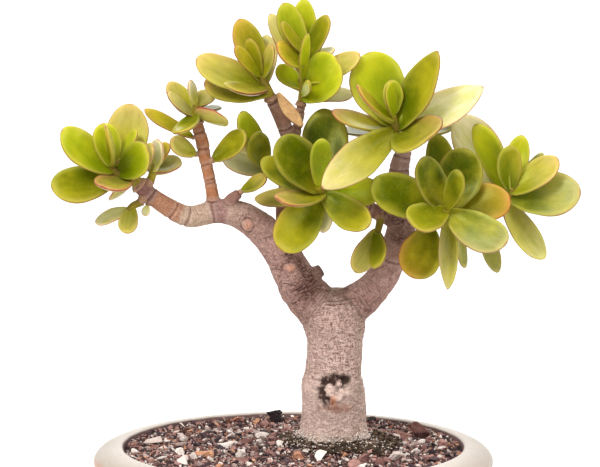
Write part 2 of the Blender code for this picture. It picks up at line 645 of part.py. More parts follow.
def build_soil(collection, cutters, look):
    """The packed bed fills the pot to its wall, with a plain hole for the trunk and stones on top."""
    top_radius = INNER[0][0] - 0.2 - GAP
    profile = [(top_radius * (i / SOIL_RINGS) ** 0.9, INNER[0][1]) for i in range(SOIL_RINGS + 1)]
    profile += [(r - GAP, z + GAP) for r, z in INNER[1:]]
    profile.append((0.0, FLOOR_TOP + GAP))
    soil = turned("soil", profile, collection, look)
    for vert in soil.data.vertices:
        if vert.co.z > (INNER[0][1] - 1.0) * MM:
            vert.co.z = soil_height(vert.co.x / MM, vert.co.y / MM) * MM
    draw = random.Random(STONE_SEED)
    spots = []
    tries = 0
    while len(spots) < STONES and tries < 6000:
        tries += 1
        r = 88.0 * math.sqrt(draw.random())
        angle = draw.uniform(0, 2 * math.pi)
        x, y = r * math.cos(angle), r * math.sin(angle)
        size = draw.uniform(2.2, 4.2)
        if math.hypot(x - TRUNK_X, y - TRUNK_Y) < 27.0 + size:
            continue
        if all(math.hypot(x - a, y - b) > size + s + 1.5 for a, b, s in spots):
            spots.append((x, y, size))
    stones = []
    for x, y, size in spots:
        shape = bmesh.new()
        turn = Matrix.Rotation(draw.uniform(0, 6.28), 4, "Z") @ Matrix.Rotation(draw.uniform(0, 3.0), 4, "X")
        squash = Matrix.Diagonal((1.0, draw.uniform(0.65, 0.95), draw.uniform(0.55, 0.8), 1.0))
        place = Matrix.Translation((x, y, soil_height(x, y) + size * 0.18))
        bmesh.ops.create_icosphere(shape, subdivisions=1, radius=size, matrix=place @ squash @ turn)
        stones.append(object_from(shape, "stone", collection))
    join_bodies(soil, stones)
    cut(soil, column("trunk_hole", BURIED_RADIUS + GAP, BURIED_BOTTOM - GAP, 90.0, cutters))
    side = SCREEN_SIDE + 2 * GAP
    low = FLOOR_TOP - 5.0
    high = FLOOR_TOP + SCREEN_THICK + 2 * GAP
    cut(soil, block("screen_seat", (0.0, 0.0, (low + high) / 2), (side, side, high - low), cutters))


def build_screen(collection, cutters, look):
    """A square plastic screen over the drain hole, with a grid of square holes."""
    middle = FLOOR_TOP + GAP + SCREEN_THICK / 2
    screen = block("drain_screen", (0.0, 0.0, middle), (SCREEN_SIDE, SCREEN_SIDE, SCREEN_THICK), collection)
    screen.data.materials.append(look)
    pitch = SCREEN_SIDE / (SCREEN_HOLES + 0.4)
    steps = [(i - (SCREEN_HOLES - 1) / 2) * pitch for i in range(SCREEN_HOLES)]
    grid = [(x, y) for x in steps for y in steps]
    size = (SCREEN_HOLE, SCREEN_HOLE, SCREEN_THICK + 2.0)
    cut(screen, block("screen_holes", (0.0, 0.0, middle), size, cutters, grid))


def trunk_radius(angle, height, base):
    """Flutes and swellings of the trunk, and the callus of an old cut on its front."""
    flutes = 0.035 * math.sin(3 * angle + 0.6) + 0.025 * math.sin(5 * angle + height * 0.03)
    fade = min(1.0, max(0.0, (height - 66.0) / 12.0))
    radius = base * (1 + flutes * fade)
    front = math.cos(angle + math.pi / 2 - 0.12)
    callus = math.exp(-((height - 93.0) / 8.0) ** 2) * max(0.0, front) ** 12
    return radius + 1.8 * callus


def build_wood(collection, look):
    """Trunk, limbs and stems are one grown body."""
    rows = [(TRUNK_X, TRUNK_Y, BURIED_BOTTOM, 2 * BURIED_RADIUS), (TRUNK_X, TRUNK_Y, 50.0, 2 * BURIED_RADIUS)]
    rows += [tuple(p) for p in smooth_route(TRUNK, 2)]
    verts = []
    for x, y, z, thick in rows:
        for k in range(TRUNK_SIDES):
            angle = 2 * math.pi * k / TRUNK_SIDES
            radius = trunk_radius(angle, z, thick / 2)
            verts.append((x + radius * math.cos(angle), y + radius * math.sin(angle), z))
    faces = [tuple(range(TRUNK_SIDES))[::-1]]
    for i in range(len(rows) - 1):
        for k in range(TRUNK_SIDES):
            nxt = (k + 1) % TRUNK_SIDES
            a, b = i * TRUNK_SIDES, (i + 1) * TRUNK_SIDES
            faces.append((a + k, a + nxt, b + nxt, b + k))
    faces.append(tuple((len(rows) - 1) * TRUNK_SIDES + k for k in range(TRUNK_SIDES)))
    wood = add_object("trunk_and_branches", verts, faces, collection, look)
    limbs = []
    for name, route in LIMBS.items():
        sides = 14 if max(p[3] for p in route) > 20 else 8
        limbs.append(add_object(name, *tube(smooth_route(route, 1), sides), collection))
    join_bodies(wood, limbs)
    return wood


def build_foliage(collection, green, dry):
    grown = grow_leaves()
    for name, leaves in grown.items():
        if name in SHOOTS:
            made = add_object("shoot_" + name, *tube(SHOOTS[name]["stem"], 8), collection, green)
            join_bodies(made, [add_object("blade", *leaf(*row), collection) for row in leaves])
        else:
            made = add_object(name, *leaf(*leaves[0]), collection, dry if name == "dry_leaf" else green)
        round_off(made, 50)


def centre_box(collection, cutters):
    """Moves everything so that the bounding box is centred on the z axis; the foot stays at z = 0."""
    corners = [v.co for item in collection.objects for v in item.data.vertices]
    shift = Vector((0.0, 0.0, 0.0))
    for i in range(2):
        shift[i] = -(min(c[i] for c in corners) + max(c[i] for c in corners)) / 2
    for item in list(collection.objects) + list(cutters.objects):
        item.data.transform(Matrix.Translation(shift))


def round_off(made, degrees):
    """Smooth shading, with the edges sharper than the angle kept crisp."""
    made.data.shade_smooth()
    made.data.set_sharp_from_angle(angle=math.radians(degrees))


def main():
    clean_scene()
    plant = bpy.data.collections.new("jade_bonsai")
    cutters = bpy.data.collections.new("cutters")
    bpy.context.scene.collection.children.link(plant)
    bpy.context.scene.collection.children.link(cutters)
    clay = material("glazed_clay", (0.72, 0.60, 0.50), 0.5)
    earth = material("gravel_soil", (0.22, 0.16, 0.14), 0.95)
    plastic = material("black_plastic", (0.03, 0.03, 0.03), 0.5)
    bark = material("bark", (0.50, 0.38, 0.33), 0.8)
    green = material("jade_leaf", (0.36, 0.44, 0.06), 0.35)
    dry = material("dry_leaf", (0.55, 0.38, 0.18), 0.7)
    round_off(build_pot(plant, clay), 35)
    build_soil(plant, cutters, earth)
    build_screen(plant, cutters, plastic)
    round_off(build_wood(plant, bark), 50)
    build_foliage(plant, green, dry)
    centre_box(plant, cutters)


main()
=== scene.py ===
"""A jade plant grown as a bonsai in a round buff clay pot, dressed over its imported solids.

Each section makes one piece, or a group of like pieces, in the order in which the pot is filled and the
plant grows out of it. Lengths in the tables are millimetres, measured from the pot's own axis: across
(to the right), depth (away from the viewer) and height above the pot's foot.
"""

import json
import math
import random

import bmesh
import bpy
import numpy as np
from mathutils import Matrix, Vector
from mathutils.bvhtree import BVHTree
from mathutils.noise import noise

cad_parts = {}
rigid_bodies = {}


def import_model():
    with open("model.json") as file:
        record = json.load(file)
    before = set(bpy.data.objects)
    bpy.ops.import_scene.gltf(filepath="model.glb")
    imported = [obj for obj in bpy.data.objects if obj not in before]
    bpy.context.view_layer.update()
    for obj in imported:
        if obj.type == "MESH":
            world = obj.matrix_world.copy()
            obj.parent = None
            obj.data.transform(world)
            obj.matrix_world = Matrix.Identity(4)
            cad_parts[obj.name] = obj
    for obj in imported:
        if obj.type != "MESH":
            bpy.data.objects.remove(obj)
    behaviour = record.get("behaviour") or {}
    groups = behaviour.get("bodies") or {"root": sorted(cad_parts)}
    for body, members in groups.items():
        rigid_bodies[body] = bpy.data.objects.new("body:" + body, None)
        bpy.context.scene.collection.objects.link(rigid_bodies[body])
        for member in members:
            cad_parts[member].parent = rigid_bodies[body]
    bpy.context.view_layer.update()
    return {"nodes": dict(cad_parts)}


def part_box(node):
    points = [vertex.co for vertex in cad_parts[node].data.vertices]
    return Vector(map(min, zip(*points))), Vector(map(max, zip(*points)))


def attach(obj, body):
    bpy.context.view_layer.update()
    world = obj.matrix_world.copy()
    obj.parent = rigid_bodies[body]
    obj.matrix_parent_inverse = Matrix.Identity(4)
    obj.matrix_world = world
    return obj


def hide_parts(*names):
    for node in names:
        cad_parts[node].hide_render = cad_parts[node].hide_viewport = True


for item in list(bpy.data.objects):
    bpy.data.objects.remove(item, do_unlink=True)
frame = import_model()
MM = 0.001

# The pot
# A round shallow bonsai pot of stoneware with a satin buff glaze, thrown on a wheel: wide rolled rim,
# curved wall, plain foot ring and one drain hole. The bare inside above the soil is stained dark.
pot_low, pot_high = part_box("pot")
POT_AXIS = (pot_low + pot_high) / 2
RIM_PROFILE = [
    (98.9, 63.3), (100.4, 64.3), (104.0, 64.1), (108.5, 62.9), (112.6, 60.8), (115.3, 57.8), (116.0, 54.6),
    (114.4, 51.2), (110.5, 49.0),
]
WALL_PROFILE = [(107.0, 46.0), (103.0, 32.0), (96.0, 19.0), (88.0, 11.0)]
FLOOR_TOP = 15.0
FOOT_RADIUS = 80.0
FOOT_HEIGHT = 7.0
FOOT_WIDTH = 9.0
DRAIN_RADIUS = 9.0
POT_STEPS = 160
# how much its sharp edges are rounded off, and how far the thrown wall is out of true
ARRIS = 0.8
WOBBLE = 0.45
INNER = [(98.4, 62.0), (98.0, 50.0), (94.5, 35.0), (85.5, 21.5), (70.0, FLOOR_TOP)]


def paint(red, green, blue):
    """A colour read as 0 to 255 on a screen, as the shader wants it."""
    out = []
    for value in (red, green, blue):
        share = value / 255
        out.append(share / 12.92 if share <= 0.04045 else ((share + 0.055) / 1.055) ** 2.4)
    return (*out, 1.0)


def set_out(name, data):
    """An object with the given mesh, light or camera, in the scene."""
    made = bpy.data.objects.new(name, data)
    bpy.context.scene.collection.objects.link(made)
    return made


def add_piece(name, verts, faces, look):
    """A smooth mesh piece from points in millimetres round the pot's axis; it rides on the one body."""
    mesh = bpy.data.meshes.new(name)
    middle = np.array((POT_AXIS.x, POT_AXIS.y, 0.0))
    points = np.asarray(verts, float) * MM + middle
    mesh.from_pydata(points.tolist(), [], [tuple(face) for face in faces])
    mesh.update()
    mesh.materials.append(look)
    mesh.shade_smooth()
    made = set_out(name, mesh)
    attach(made, "root")
    return made


def mark(made, name, values, kind="FLOAT"):
    """Keeps a number, place or colour for each point of the mesh, for its material to read."""
    field = made.data.attributes.new(name, kind, "POINT")
    key = {"FLOAT": "value", "FLOAT_VECTOR": "vector", "FLOAT_COLOR": "color"}[kind]
    field.data.foreach_set(key, np.asarray(values, np.float32).ravel())


def new_material(name, roughness):
    """A material, its node tree and its shader."""
    made = bpy.data.materials.new(name)
    made.use_nodes = True
    shader = made.node_tree.nodes["Principled BSDF"]
    shader.inputs["Roughness"].default_value = roughness
    return made, made.node_tree, shader


def feed(tree, socket, value):
    """Links a socket to another one, or sets it to a number or to a colour as paint() takes it."""
    if isinstance(value, bpy.types.NodeSocket):
        tree.links.new(value, socket)
    else:
        socket.default_value = paint(*value) if isinstance(value, tuple) else value


def mixed(tree, share, first, second, way="MIX"):
    """Mixes two colours, each a socket or three numbers, by a share."""
    made = tree.nodes.new("ShaderNodeMix")
    made.data_type = "RGBA"
    made.blend_type = way
    for i, value in ((0, share), (6, first), (7, second)):
        feed(tree, made.inputs[i], value)
    return made.outputs[2]


def ramp(tree, value, low, high, way="SMOOTHSTEP"):
    """Stretches a value so that low gives 0 and high gives 1."""
    made = tree.nodes.new("ShaderNodeMapRange")
    made.interpolation_type = way
    made.inputs["From Min"].default_value = low
    made.inputs["From Max"].default_value = high
    feed(tree, made.inputs["Value"], value)
    return made.outputs[0]


def reckon(tree, operation, first, second):
    """Works two numbers or sockets into one value from 0 to 1."""
    made = tree.nodes.new("ShaderNodeMath")
    made.operation = operation
    made.use_clamp = True
    feed(tree, made.inputs[0], first)
    feed(tree, made.inputs[1], second)
    return made.outputs[0]


def times(tree, first, second):
    return reckon(tree, "MULTIPLY", first, second)


def plus(tree, first, second):
    return reckon(tree, "ADD", first, second)


def read(tree, name, output="Fac"):
    """A number or colour that was kept on the mesh by mark()."""
    made = tree.nodes.new("ShaderNodeAttribute")
    made.attribute_name = name
    return made.outputs[output]


def bumped(tree, shader, height, strength, distance):
    """Turns a height into the shader's normal; the distance is in metres."""
    made = tree.nodes.new("ShaderNodeBump")
    made.inputs["Strength"].default_value = strength
    made.inputs["Distance"].default_value = distance
    feed(tree, made.inputs["Height"], height)
    feed(tree, shader.inputs["Normal"], made.outputs[0])


def new_group(name, inputs, outputs):
    """An empty shared group with named sockets; returns it, what it is given and what it gives."""
    group = bpy.data.node_groups.new(name, "ShaderNodeTree")
    for key in inputs:
        kind = "NodeSocketVector" if key == "Place" else "NodeSocketFloat"
        group.interface.new_socket(key, in_out="INPUT", socket_type=kind)
    for key in outputs:
        group.interface.new_socket(key, in_out="OUTPUT", socket_type="NodeSocketFloat")
    return group, group.nodes.new("NodeGroupInput").outputs, group.nodes.new("NodeGroupOutput").inputs


def build_mottle():
    """Shared group: a cloud of two sizes, as a value for colours and one for the surface's height."""
    inputs = ("Place", "Scale", "Fine Scale", "Fine Share")
    group, given, result = new_group("mottle", inputs, ("Cloud", "Grain"))
    clouds = []
    for key, detail in (("Scale", 4.0), ("Fine Scale", 3.0)):
        cloud = group.nodes.new("ShaderNodeTexNoise")
        cloud.inputs["Detail"].default_value = detail
        feed(group, cloud.inputs["Vector"], given["Place"])
        feed(group, cloud.inputs["Scale"], given[key])
        clouds.append(cloud.outputs[0])
    blend = group.nodes.new("ShaderNodeMix")
    for i, value in ((0, given["Fine Share"]), (2, clouds[0]), (3, clouds[1])):
        feed(group, blend.inputs[i], value)
    feed(group, result["Cloud"], ramp(group, blend.outputs[0], 0.3, 0.7, "LINEAR"))
    feed(group, result["Grain"], clouds[1])
    return group


mottle = build_mottle()


def build_specks():
    """Shared group: scattered small round spots, as a mask; Amount is the share of cells with a spot."""
    group, given, result = new_group("specks", ("Place", "Scale", "Size", "Amount"), ("Mask",))
    cells = group.nodes.new("ShaderNodeTexVoronoi")
    feed(group, cells.inputs["Vector"], given["Place"])
    feed(group, cells.inputs["Scale"], given["Scale"])
    split = group.nodes.new("ShaderNodeSeparateColor")
    feed(group, split.inputs[0], cells.outputs["Color"])
    near = reckon(group, "LESS_THAN", cells.outputs["Distance"], given["Size"])
    chosen = reckon(group, "LESS_THAN", split.outputs[0], given["Amount"])
    feed(group, result["Mask"], times(group, near, chosen))
    return group


specks = build_specks()


def placed(tree, group, values, place=None):
    """A shared group set on the piece, or at a place of its own; returns its outputs.

    The values are its other inputs: scale, fine scale and fine share, or scale, size and amount.
    """
    made = tree.nodes.new("ShaderNodeGroup")
    made.node_tree = group
    if place is None:
        place = tree.nodes.new("ShaderNodeTexCoord").outputs["Object"]
    feed(tree, made.inputs["Place"], place)
    for socket, value in zip(list(made.inputs)[1:], values):
        socket.default_value = value
    return made.outputs


def buff_glaze():
    made, tree, shader = new_material("buff_glaze", 0.42)
    cloud, grain = placed(tree, mottle, (28.0, 420.0, 0.25))
    spots = placed(tree, specks, (330.0, 0.28, 0.12))["Mask"]
    stained = read(tree, "pot_stain")
    body = mixed(tree, cloud, (172, 160, 148), (190, 178, 166))
    # warmer and darker under the rolled rim: painted shade of its underside, with a warm tone of the glaze
    shaded_under_rim = mixed(tree, read(tree, "rim_underside_shade"), body, (182, 136, 106))
    spotted = mixed(tree, times(tree, spots, 0.3), shaded_under_rim, (150, 116, 92))
    stain = mixed(tree, cloud, (78, 56, 52), (122, 96, 92))
    feed(tree, shader.inputs["Base Color"], mixed(tree, stained, spotted, stain))
    feed(tree, shader.inputs["Roughness"], plus(tree, times(tree, stained, 0.45), 0.40))
    bumped(tree, shader, grain, 0.25, 0.0004)
    return made


def curve_point(a, b, c, d, t):
    """A point at a share of the way from b to c, on a smooth (Catmull-Rom) curve through all four."""
    return 0.5 * ((2 * b) + (c - a) * t + (2 * a - 5 * b + 4 * c - d) * t * t
                  + (3 * b - a - 3 * c + d) * t * t * t)


def rounded(profile, cuts):
    """The profile with more points, on a smooth curve through the given ones."""
    rows = [Vector((*p, 0.0)) for p in profile]
    rows = [rows[0]] + rows + [rows[-1]]
    out = []
    for a, b, c, d in zip(rows, rows[1:], rows[2:], rows[3:]):
        out += [tuple(curve_point(a, b, c, d, k / cuts)[:2]) for k in range(cuts)]
    return out + [tuple(profile[-1])]


def taken(shape):
    """The points and faces of a bmesh, which is freed."""
    shape.verts.index_update()
    points = np.array([vert.co for vert in shape.verts])
    faces = [tuple(vert.index for vert in face.verts) for face in shape.faces]
    shape.free()
    return points, faces


def spun(profile, steps):
    """Points and faces of a closed profile swept round the axis, with the Screw modifier."""
    mesh = bpy.data.meshes.new("profile")
    edges = [(i, (i + 1) % len(profile)) for i in range(len(profile))]
    mesh.from_pydata([(r, 0.0, z) for r, z in profile], edges, [])
    holder = set_out("profile", mesh)
    screw = holder.modifiers.new("turn", "SCREW")
    screw.steps = steps
    screw.render_steps = steps
    screw.use_merge_vertices = True
    screw.merge_threshold = 0.0001
    graph = bpy.context.evaluated_depsgraph_get()
    shape = bmesh.new()
    shape.from_mesh(bpy.data.meshes.new_from_object(holder.evaluated_get(graph)))
    bmesh.ops.remove_doubles(shape, verts=shape.verts, dist=0.0001)
    bmesh.ops.recalc_face_normals(shape, faces=shape.faces)
    bpy.data.objects.remove(holder, do_unlink=True)
    return taken(shape)


def unit(values):
    """The values, kept from 0 to 1."""
    return np.clip(values, 0, 1)


def build_pot():
    foot_inside = FOOT_RADIUS - FOOT_WIDTH
    profile = rounded(RIM_PROFILE + WALL_PROFILE + [(FOOT_RADIUS + 1.5, FOOT_HEIGHT)], 4)
    profile += [(FOOT_RADIUS + 0.3, 1.2), (FOOT_RADIUS - ARRIS, 0.0), (foot_inside + ARRIS, 0.0)]
    profile += [(foot_inside - 0.3, 1.2), (foot_inside - 1.5, FOOT_HEIGHT)]
    profile += [(DRAIN_RADIUS + ARRIS, FOOT_HEIGHT), (DRAIN_RADIUS, FOOT_HEIGHT + ARRIS)]
    profile += [(DRAIN_RADIUS, FLOOR_TOP - ARRIS), (DRAIN_RADIUS + ARRIS, FLOOR_TOP)]
    verts, faces = spun(profile + rounded(INNER[::-1], 4), POT_STEPS)
    radius = np.hypot(verts[:, 0], verts[:, 1])
    wobble = np.array([noise(Vector(v) * 0.018) for v in verts]) * WOBBLE
    above_foot = unit((verts[:, 2] - FOOT_HEIGHT) / 20.0)
    below_rim = unit((RIM_PROFILE[1][1] - verts[:, 2]) / 8.0)
    verts[:, :2] *= (1 + wobble * above_foot * below_rim / radius)[:, None]
    made = add_piece("pot_glazed", verts, faces, buff_glaze())
    made.data.set_sharp_from_angle(angle=math.radians(50))
    ragged = np.array([noise(Vector(v) * 0.12) for v in verts])
    stain = unit((RIM_PROFILE[0][0] + 0.5 + 0.2 * ragged - radius) / 0.4)
    stain *= verts[:, 2] > FOOT_HEIGHT + 1
    # the outer wall below the rim's top, more so to the left: painted shade under the rolled rim, with a warm
    # tone of the glaze
    blush = unit((60.5 + 2.5 * ragged - verts[:, 2]) / 6.0) * (radius > 90)
    mark(made, "pot_stain", stain)
    mark(made, "rim_underside_shade", blush * (0.55 + 0.45 * np.clip((20.0 - verts[:, 0]) / 90.0, -1, 1)))
    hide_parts("pot")


build_pot()

# The drain screen
# A square of black plastic mesh laid over the drain hole, to keep the soil in. It keeps its own solid.


def two_tone(name, roughness, sizes, first, second, strength=0.0, distance=0.0):
    """A finish of two colours that mingle in a cloud, with the cloud's grain as a fine relief."""
    made, tree, shader = new_material(name, roughness)
    cloud, grain = placed(tree, mottle, sizes)
    feed(tree, shader.inputs["Base Color"], mixed(tree, cloud, first, second))
    if strength:
        bumped(tree, shader, grain, strength, distance)
    return made


screen_mesh = frame["nodes"]["drain_screen"].data
screen_mesh.materials.clear()
screen_mesh.materials.append(two_tone("screen_plastic", 0.5, (300.0, 1500.0, 0.5), (26, 26, 26), (48, 44, 40),
                                      0.2, 0.0002))

# The soil bed
# A free-draining mix, packed to the pot's wall and mounded a little to the trunk. What shows between the
# stones is a very dark brown bed. The trunk stands in a plain hole.
TRUNK_X = 23.0
TRUNK_Y = 12.0
GAP = 0.3
BURIED_RADIUS = 20.6
SOIL_AT_WALL = 60.0
SOIL_RISE = 4.4
BED_RINGS = 44
BED_STEPS = 140
# how far the bed lies under the stones' level, and how far it drops where the trunk goes in
SINK = 0.9
HOLE_DEPTH = 6.0


def from_trunk(x, y):
    return math.hypot(x - TRUNK_X, y - TRUNK_Y)


def round_at(r, angle, x=0.0, y=0.0):
    """The place at a distance and angle from the pot's axis, or from another one."""
    return x + r * math.cos(angle), y + r * math.sin(angle)


def soil_height(x, y):
    """Height of the packed soil: a low mound round the trunk, uneven by a few tenths."""
    from_axis = math.hypot(x, y)
    mound = SOIL_RISE * math.exp(-(max(from_trunk(x, y) - 18.0, 0.0) / 30.0) ** 2)
    edge = max(0.0, 1.0 - (from_axis / 98.0) ** 6)
    uneven = 1.0 * noise(Vector((x, y, 0.0)) * 0.09) + 0.6 * noise(Vector((x, y, 9.0)) * 0.23)
    return SOIL_AT_WALL + (mound + uneven) * edge + 0.8 * (1 - (from_axis / 98.0) ** 2)


def build_bed():
    """Top rings pushed to the soil's height, then down the wall to the floor."""
    outer = INNER[0][0] - 0.2 - GAP
    rings = [(0.5 + (outer - 0.5) * i / BED_RINGS, None) for i in range(BED_RINGS + 1)]
    rings += [(r - GAP, z + GAP) for r, z in INNER[1:]] + [(0.5, FLOOR_TOP + GAP)]
    shape = bmesh.new()
    rows = []
    for r, z in rings:
        row = []
        for k in range(BED_STEPS):
            x, y = round_at(r, 2 * math.pi * k / BED_STEPS)
            height = z
            if z is None:
                height = soil_height(x, y) - SINK + 0.5 * noise(Vector((x, y, 3.0)) * 0.5)
                if from_trunk(x, y) < BURIED_RADIUS + GAP:
                    height -= HOLE_DEPTH
            row.append(shape.verts.new((x, y, height)))
        rows.append(row)
    for a, b in zip(rows, rows[1:]):
        for k in range(BED_STEPS):
            nxt = (k + 1) % BED_STEPS
            shape.faces.new((a[k], b[k], b[nxt], a[nxt]))
    shape.faces.new(rows[0])
    shape.faces.new(rows[-1][::-1])
    bmesh.ops.recalc_face_normals(shape, faces=shape.faces)
    bed_look = two_tone("dark_soil_bed", 0.95, (260.0, 1400.0, 0.5), (34, 22, 22), (86, 60, 54), 0.8, 0.001)
    made = add_piece("soil_bed", *taken(shape), bed_look)
    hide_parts("soil")


build_bed()

# The grit
# Loose stones of five kinds on the bed: cream pumice, pinkish-brown baked clay, purple-black lava, grey
# stone and a little orange clay. Each is a broken chip with flat faces, partly sunk among the others.
# the stones that are fused with the solid, how far out they lie, and how far from the trunk
STONES = 38
STONE_SEED = 7
STONE_EDGE = 88.0
STONE_FREE = 27.0
GRIT_SEED = 23
GRIT_EDGE = 97.4
GRIT_CELL = 6.0
# how much higher the stones lie against the back wall, and the lava stone that perches on them
HEAPED = 2.6
PERCHED = 2.6
# how rough a broken face is
CHIP_BUMPS = 0.3
# half lengths from and to, tries at a place, and how close to each other they may lie
GRIT_SIZES = ((1.8, 2.7, 800, 0.95), (1.1, 1.8, 6500, 0.8), (0.6, 1.1, 34000, 0.7))
# share of all the stones, light and dark colour, roughness
KINDS = {
    "pumice_grit": (0.17, (252, 244, 234), (206, 186, 176), 0.92),
    "clay_grit": (0.4, (198, 150, 138), (104, 66, 60), 0.95),
    "lava_grit": (0.21, (92, 66, 70), (36, 24, 28), 0.9),
    "grey_grit": (0.17, (196, 172, 162), (116, 94, 90), 0.9),
    "rust_grit": (0.05, (222, 168, 130), (160, 102, 76), 0.92),
}
# spots sized from the photo: across, depth, half length, kind
SHOWN_STONES = [
    (75.3, 39.0, 7.5, "clay_grit"), (-9.8, 88.0, 5.6, "lava_grit"), (-84.0, 20.0, 5.5, "pumice_grit"),
    (-66.0, 44.0, 4.4, "pumice_grit"), (-42.0, 10.0, 4.6, "pumice_grit"), (-30.0, -22.0, 5.6, "pumice_grit"),
    (2.0, -30.0, 4.8, "rust_grit"), (14.0, -32.0, 5.6, "pumice_grit"), (58.0, -26.0, 5.0, "pumice_grit"),
    (70.0, -6.0, 3.8, "pumice_grit"), (-18.0, 34.0, 4.6, "pumice_grit"), (62.0, 34.0, 4.4, "pumice_grit"),
    (-52.0, -10.0, 4.2, "rust_grit"), (88.0, 8.0, 4.6, "clay_grit"), (-8.0, -2.0, 4.4, "pumice_grit"),
    (-62.0, -34.0, 5.0, "pumice_grit"), (34.0, -44.0, 4.6, "clay_grit"), (80.0, -30.0, 4.4, "lava_grit"),
]


def chip(size, draw, long=1.0, detail=2):
    """Points and faces of one broken stone: a small sphere, cut by random flats, then turned."""
    shape = bmesh.new()
    bmesh.ops.create_icosphere(shape, subdivisions=detail, radius=1.0)
    points, faces = taken(shape)
    for _ in range(8):
        way = np.array([draw.gauss(0, 1) for _ in range(3)])
        way /= np.linalg.norm(way)
        over = np.clip(points @ way - draw.uniform(0.22, 0.66), 0, None)
        points -= over[:, None] * way
    seed = Vector((draw.uniform(0, 50), 0.0, 0.0))
    points *= np.array([1 + CHIP_BUMPS * noise(Vector(p) * 2.4 + seed) for p in points])[:, None]
    shape = (draw.uniform(1.1, 1.9) * long, draw.uniform(0.7, 1.05), draw.uniform(0.55, 0.9))
    points *= np.array(shape) * size
    turn = Matrix.Rotation(draw.uniform(0, 6.28), 3, "Z") @ Matrix.Rotation(draw.gauss(0, 0.6), 3, "X")
    turn = turn @ Matrix.Rotation(draw.gauss(0, 0.4), 3, "Y")
    return points @ np.array(turn).T, faces


def stone_spots():
    """Places the fused stones of the solid first, then the shown ones, then ever smaller ones between."""
    draw = random.Random(STONE_SEED)
    spots = []
    while len(spots) < STONES:
        r = STONE_EDGE * math.sqrt(draw.random())
        x, y = round_at(r, draw.uniform(0, 2 * math.pi))
        size = draw.uniform(2.2, 4.2)
        if from_trunk(x, y) < STONE_FREE + size:
            continue
        if all(math.hypot(x - a, y - b) > size + s + 1.5 for a, b, s, _ in spots):
            spots.append((x, y, size, None))
    clear = [p for p in spots if all(math.hypot(p[0] - a, p[1] - b) > s for a, b, s, _ in SHOWN_STONES)]
    spots = SHOWN_STONES + clear
    draw = random.Random(GRIT_SEED)
    grid = {}
    for spot in spots:
        grid.setdefault((int(spot[0] // GRIT_CELL), int(spot[1] // GRIT_CELL)), []).append(spot)
    for low, high, tries, room in GRIT_SIZES:
        for _ in range(tries):
            r = GRIT_EDGE * math.sqrt(draw.random())
            angle = draw.uniform(0, 2 * math.pi)
            size = draw.uniform(low, high)
            x, y = round_at(r, angle)
            if r + 0.8 * size > GRIT_EDGE or from_trunk(x, y) < BURIED_RADIUS + 1.0:
                continue
            home = (int(x // GRIT_CELL), int(y // GRIT_CELL))
            near = [p for i in (-1, 0, 1) for k in (-1, 0, 1)
                    for p in grid.get((home[0] + i, home[1] + k), [])]
            if all(math.hypot(x - a, y - b) > (size + s) * room for a, b, s, _ in near):
                spot = (x, y, size, None)
                spots.append(spot)
                grid.setdefault(home, []).append(spot)
    return spots


def join(verts, faces, more, own):
    """Adds the points and faces of one small body to those of the others."""
    faces += [tuple(i + len(verts) for i in face) for face in own]
    verts.extend(more)


def grit_look(name, light, dark, roughness):
    made, tree, shader = new_material(name, roughness)
    cloud, grain = placed(tree, mottle, (320.0, 1600.0, 0.45))
    pits = placed(tree, specks, (1300.0, 0.3, 0.45))["Mask"]
    share = plus(tree, times(tree, read(tree, "stone_tint"), 0.75), times(tree, cloud, 0.45))
    body = mixed(tree, share, light, dark)
    feed(tree, shader.inputs["Base Color"], mixed(tree, times(tree, pits, 0.4), body, (60, 44, 40)))
    bumped(tree, shader, grain, 0.7, 0.0006)
    return made


def build_grit():
    draw = random.Random(GRIT_SEED + 1)
    names = list(KINDS)
    shares = [KINDS[name][0] for name in names]
    heaps = {name: ([], [], []) for name in names}
    for x, y, size, kind in stone_spots():
        name = kind or draw.choices(names, shares)[0]
        detail = 3 if size > 3.2 else 2 if size > 1.4 else 1
        points, own = chip(size, draw, 1.2 if size > 7 else 1.0, detail)
        lift = size * (0.15 if size > 2 else draw.uniform(-0.1, 0.5))
        if y > 0:
            lift += HEAPED * max(0.0, (math.hypot(x, y) - 80.0) / 16.0)
            lift += PERCHED if kind == "lava_grit" and y > 80 else 0.0
        verts, faces, tints = heaps[name]
        join(verts, faces, points + np.array((x, y, soil_height(x, y) - SINK * 0.4 + lift)), own)
        tints += [draw.random()] * len(points)
    for name, (verts, faces, tints) in heaps.items():
        made = add_piece(name, verts, faces, grit_look(name, *KINDS[name][1:]))
        made.data.set_sharp_from_angle(angle=math.radians(18))
        mark(made, "stone_tint", tints)


build_grit()

# The moss collar and the salt crust
# Dark olive moss and algae grow on the damp soil round the trunk, wider to the right. Where water dries at
# the foot of the bark it leaves a crust of cream salts.
MOSS_SEED = 5
MOSS_TUFTS = 2300
SALT_FLAKES = 1300


def moss_look():
    made, tree, shader = new_material("moss", 0.95)
    cloud, grain = placed(tree, mottle, (190.0, 1800.0, 0.5))
    body = mixed(tree, cloud, (20, 13, 8), (88, 66, 44))
    tuft = ramp(tree, read(tree, "tuft_tint"), 0.6, 1.2)
    feed(tree, shader.inputs["Base Color"], mixed(tree, tuft, body, (150, 124, 96)))
    bumped(tree, shader, grain, 1.0, 0.0008)
    return made


def moss_reach(angle):
    """How far the moss spreads from the trunk's axis, by direction: most to the right and front."""
    ragged = noise(Vector((math.cos(angle), math.sin(angle), 0.0)) * 2.0)
    return 31.0 + 14.0 * max(0.0, math.cos(angle + 0.75)) + 7.0 * ragged


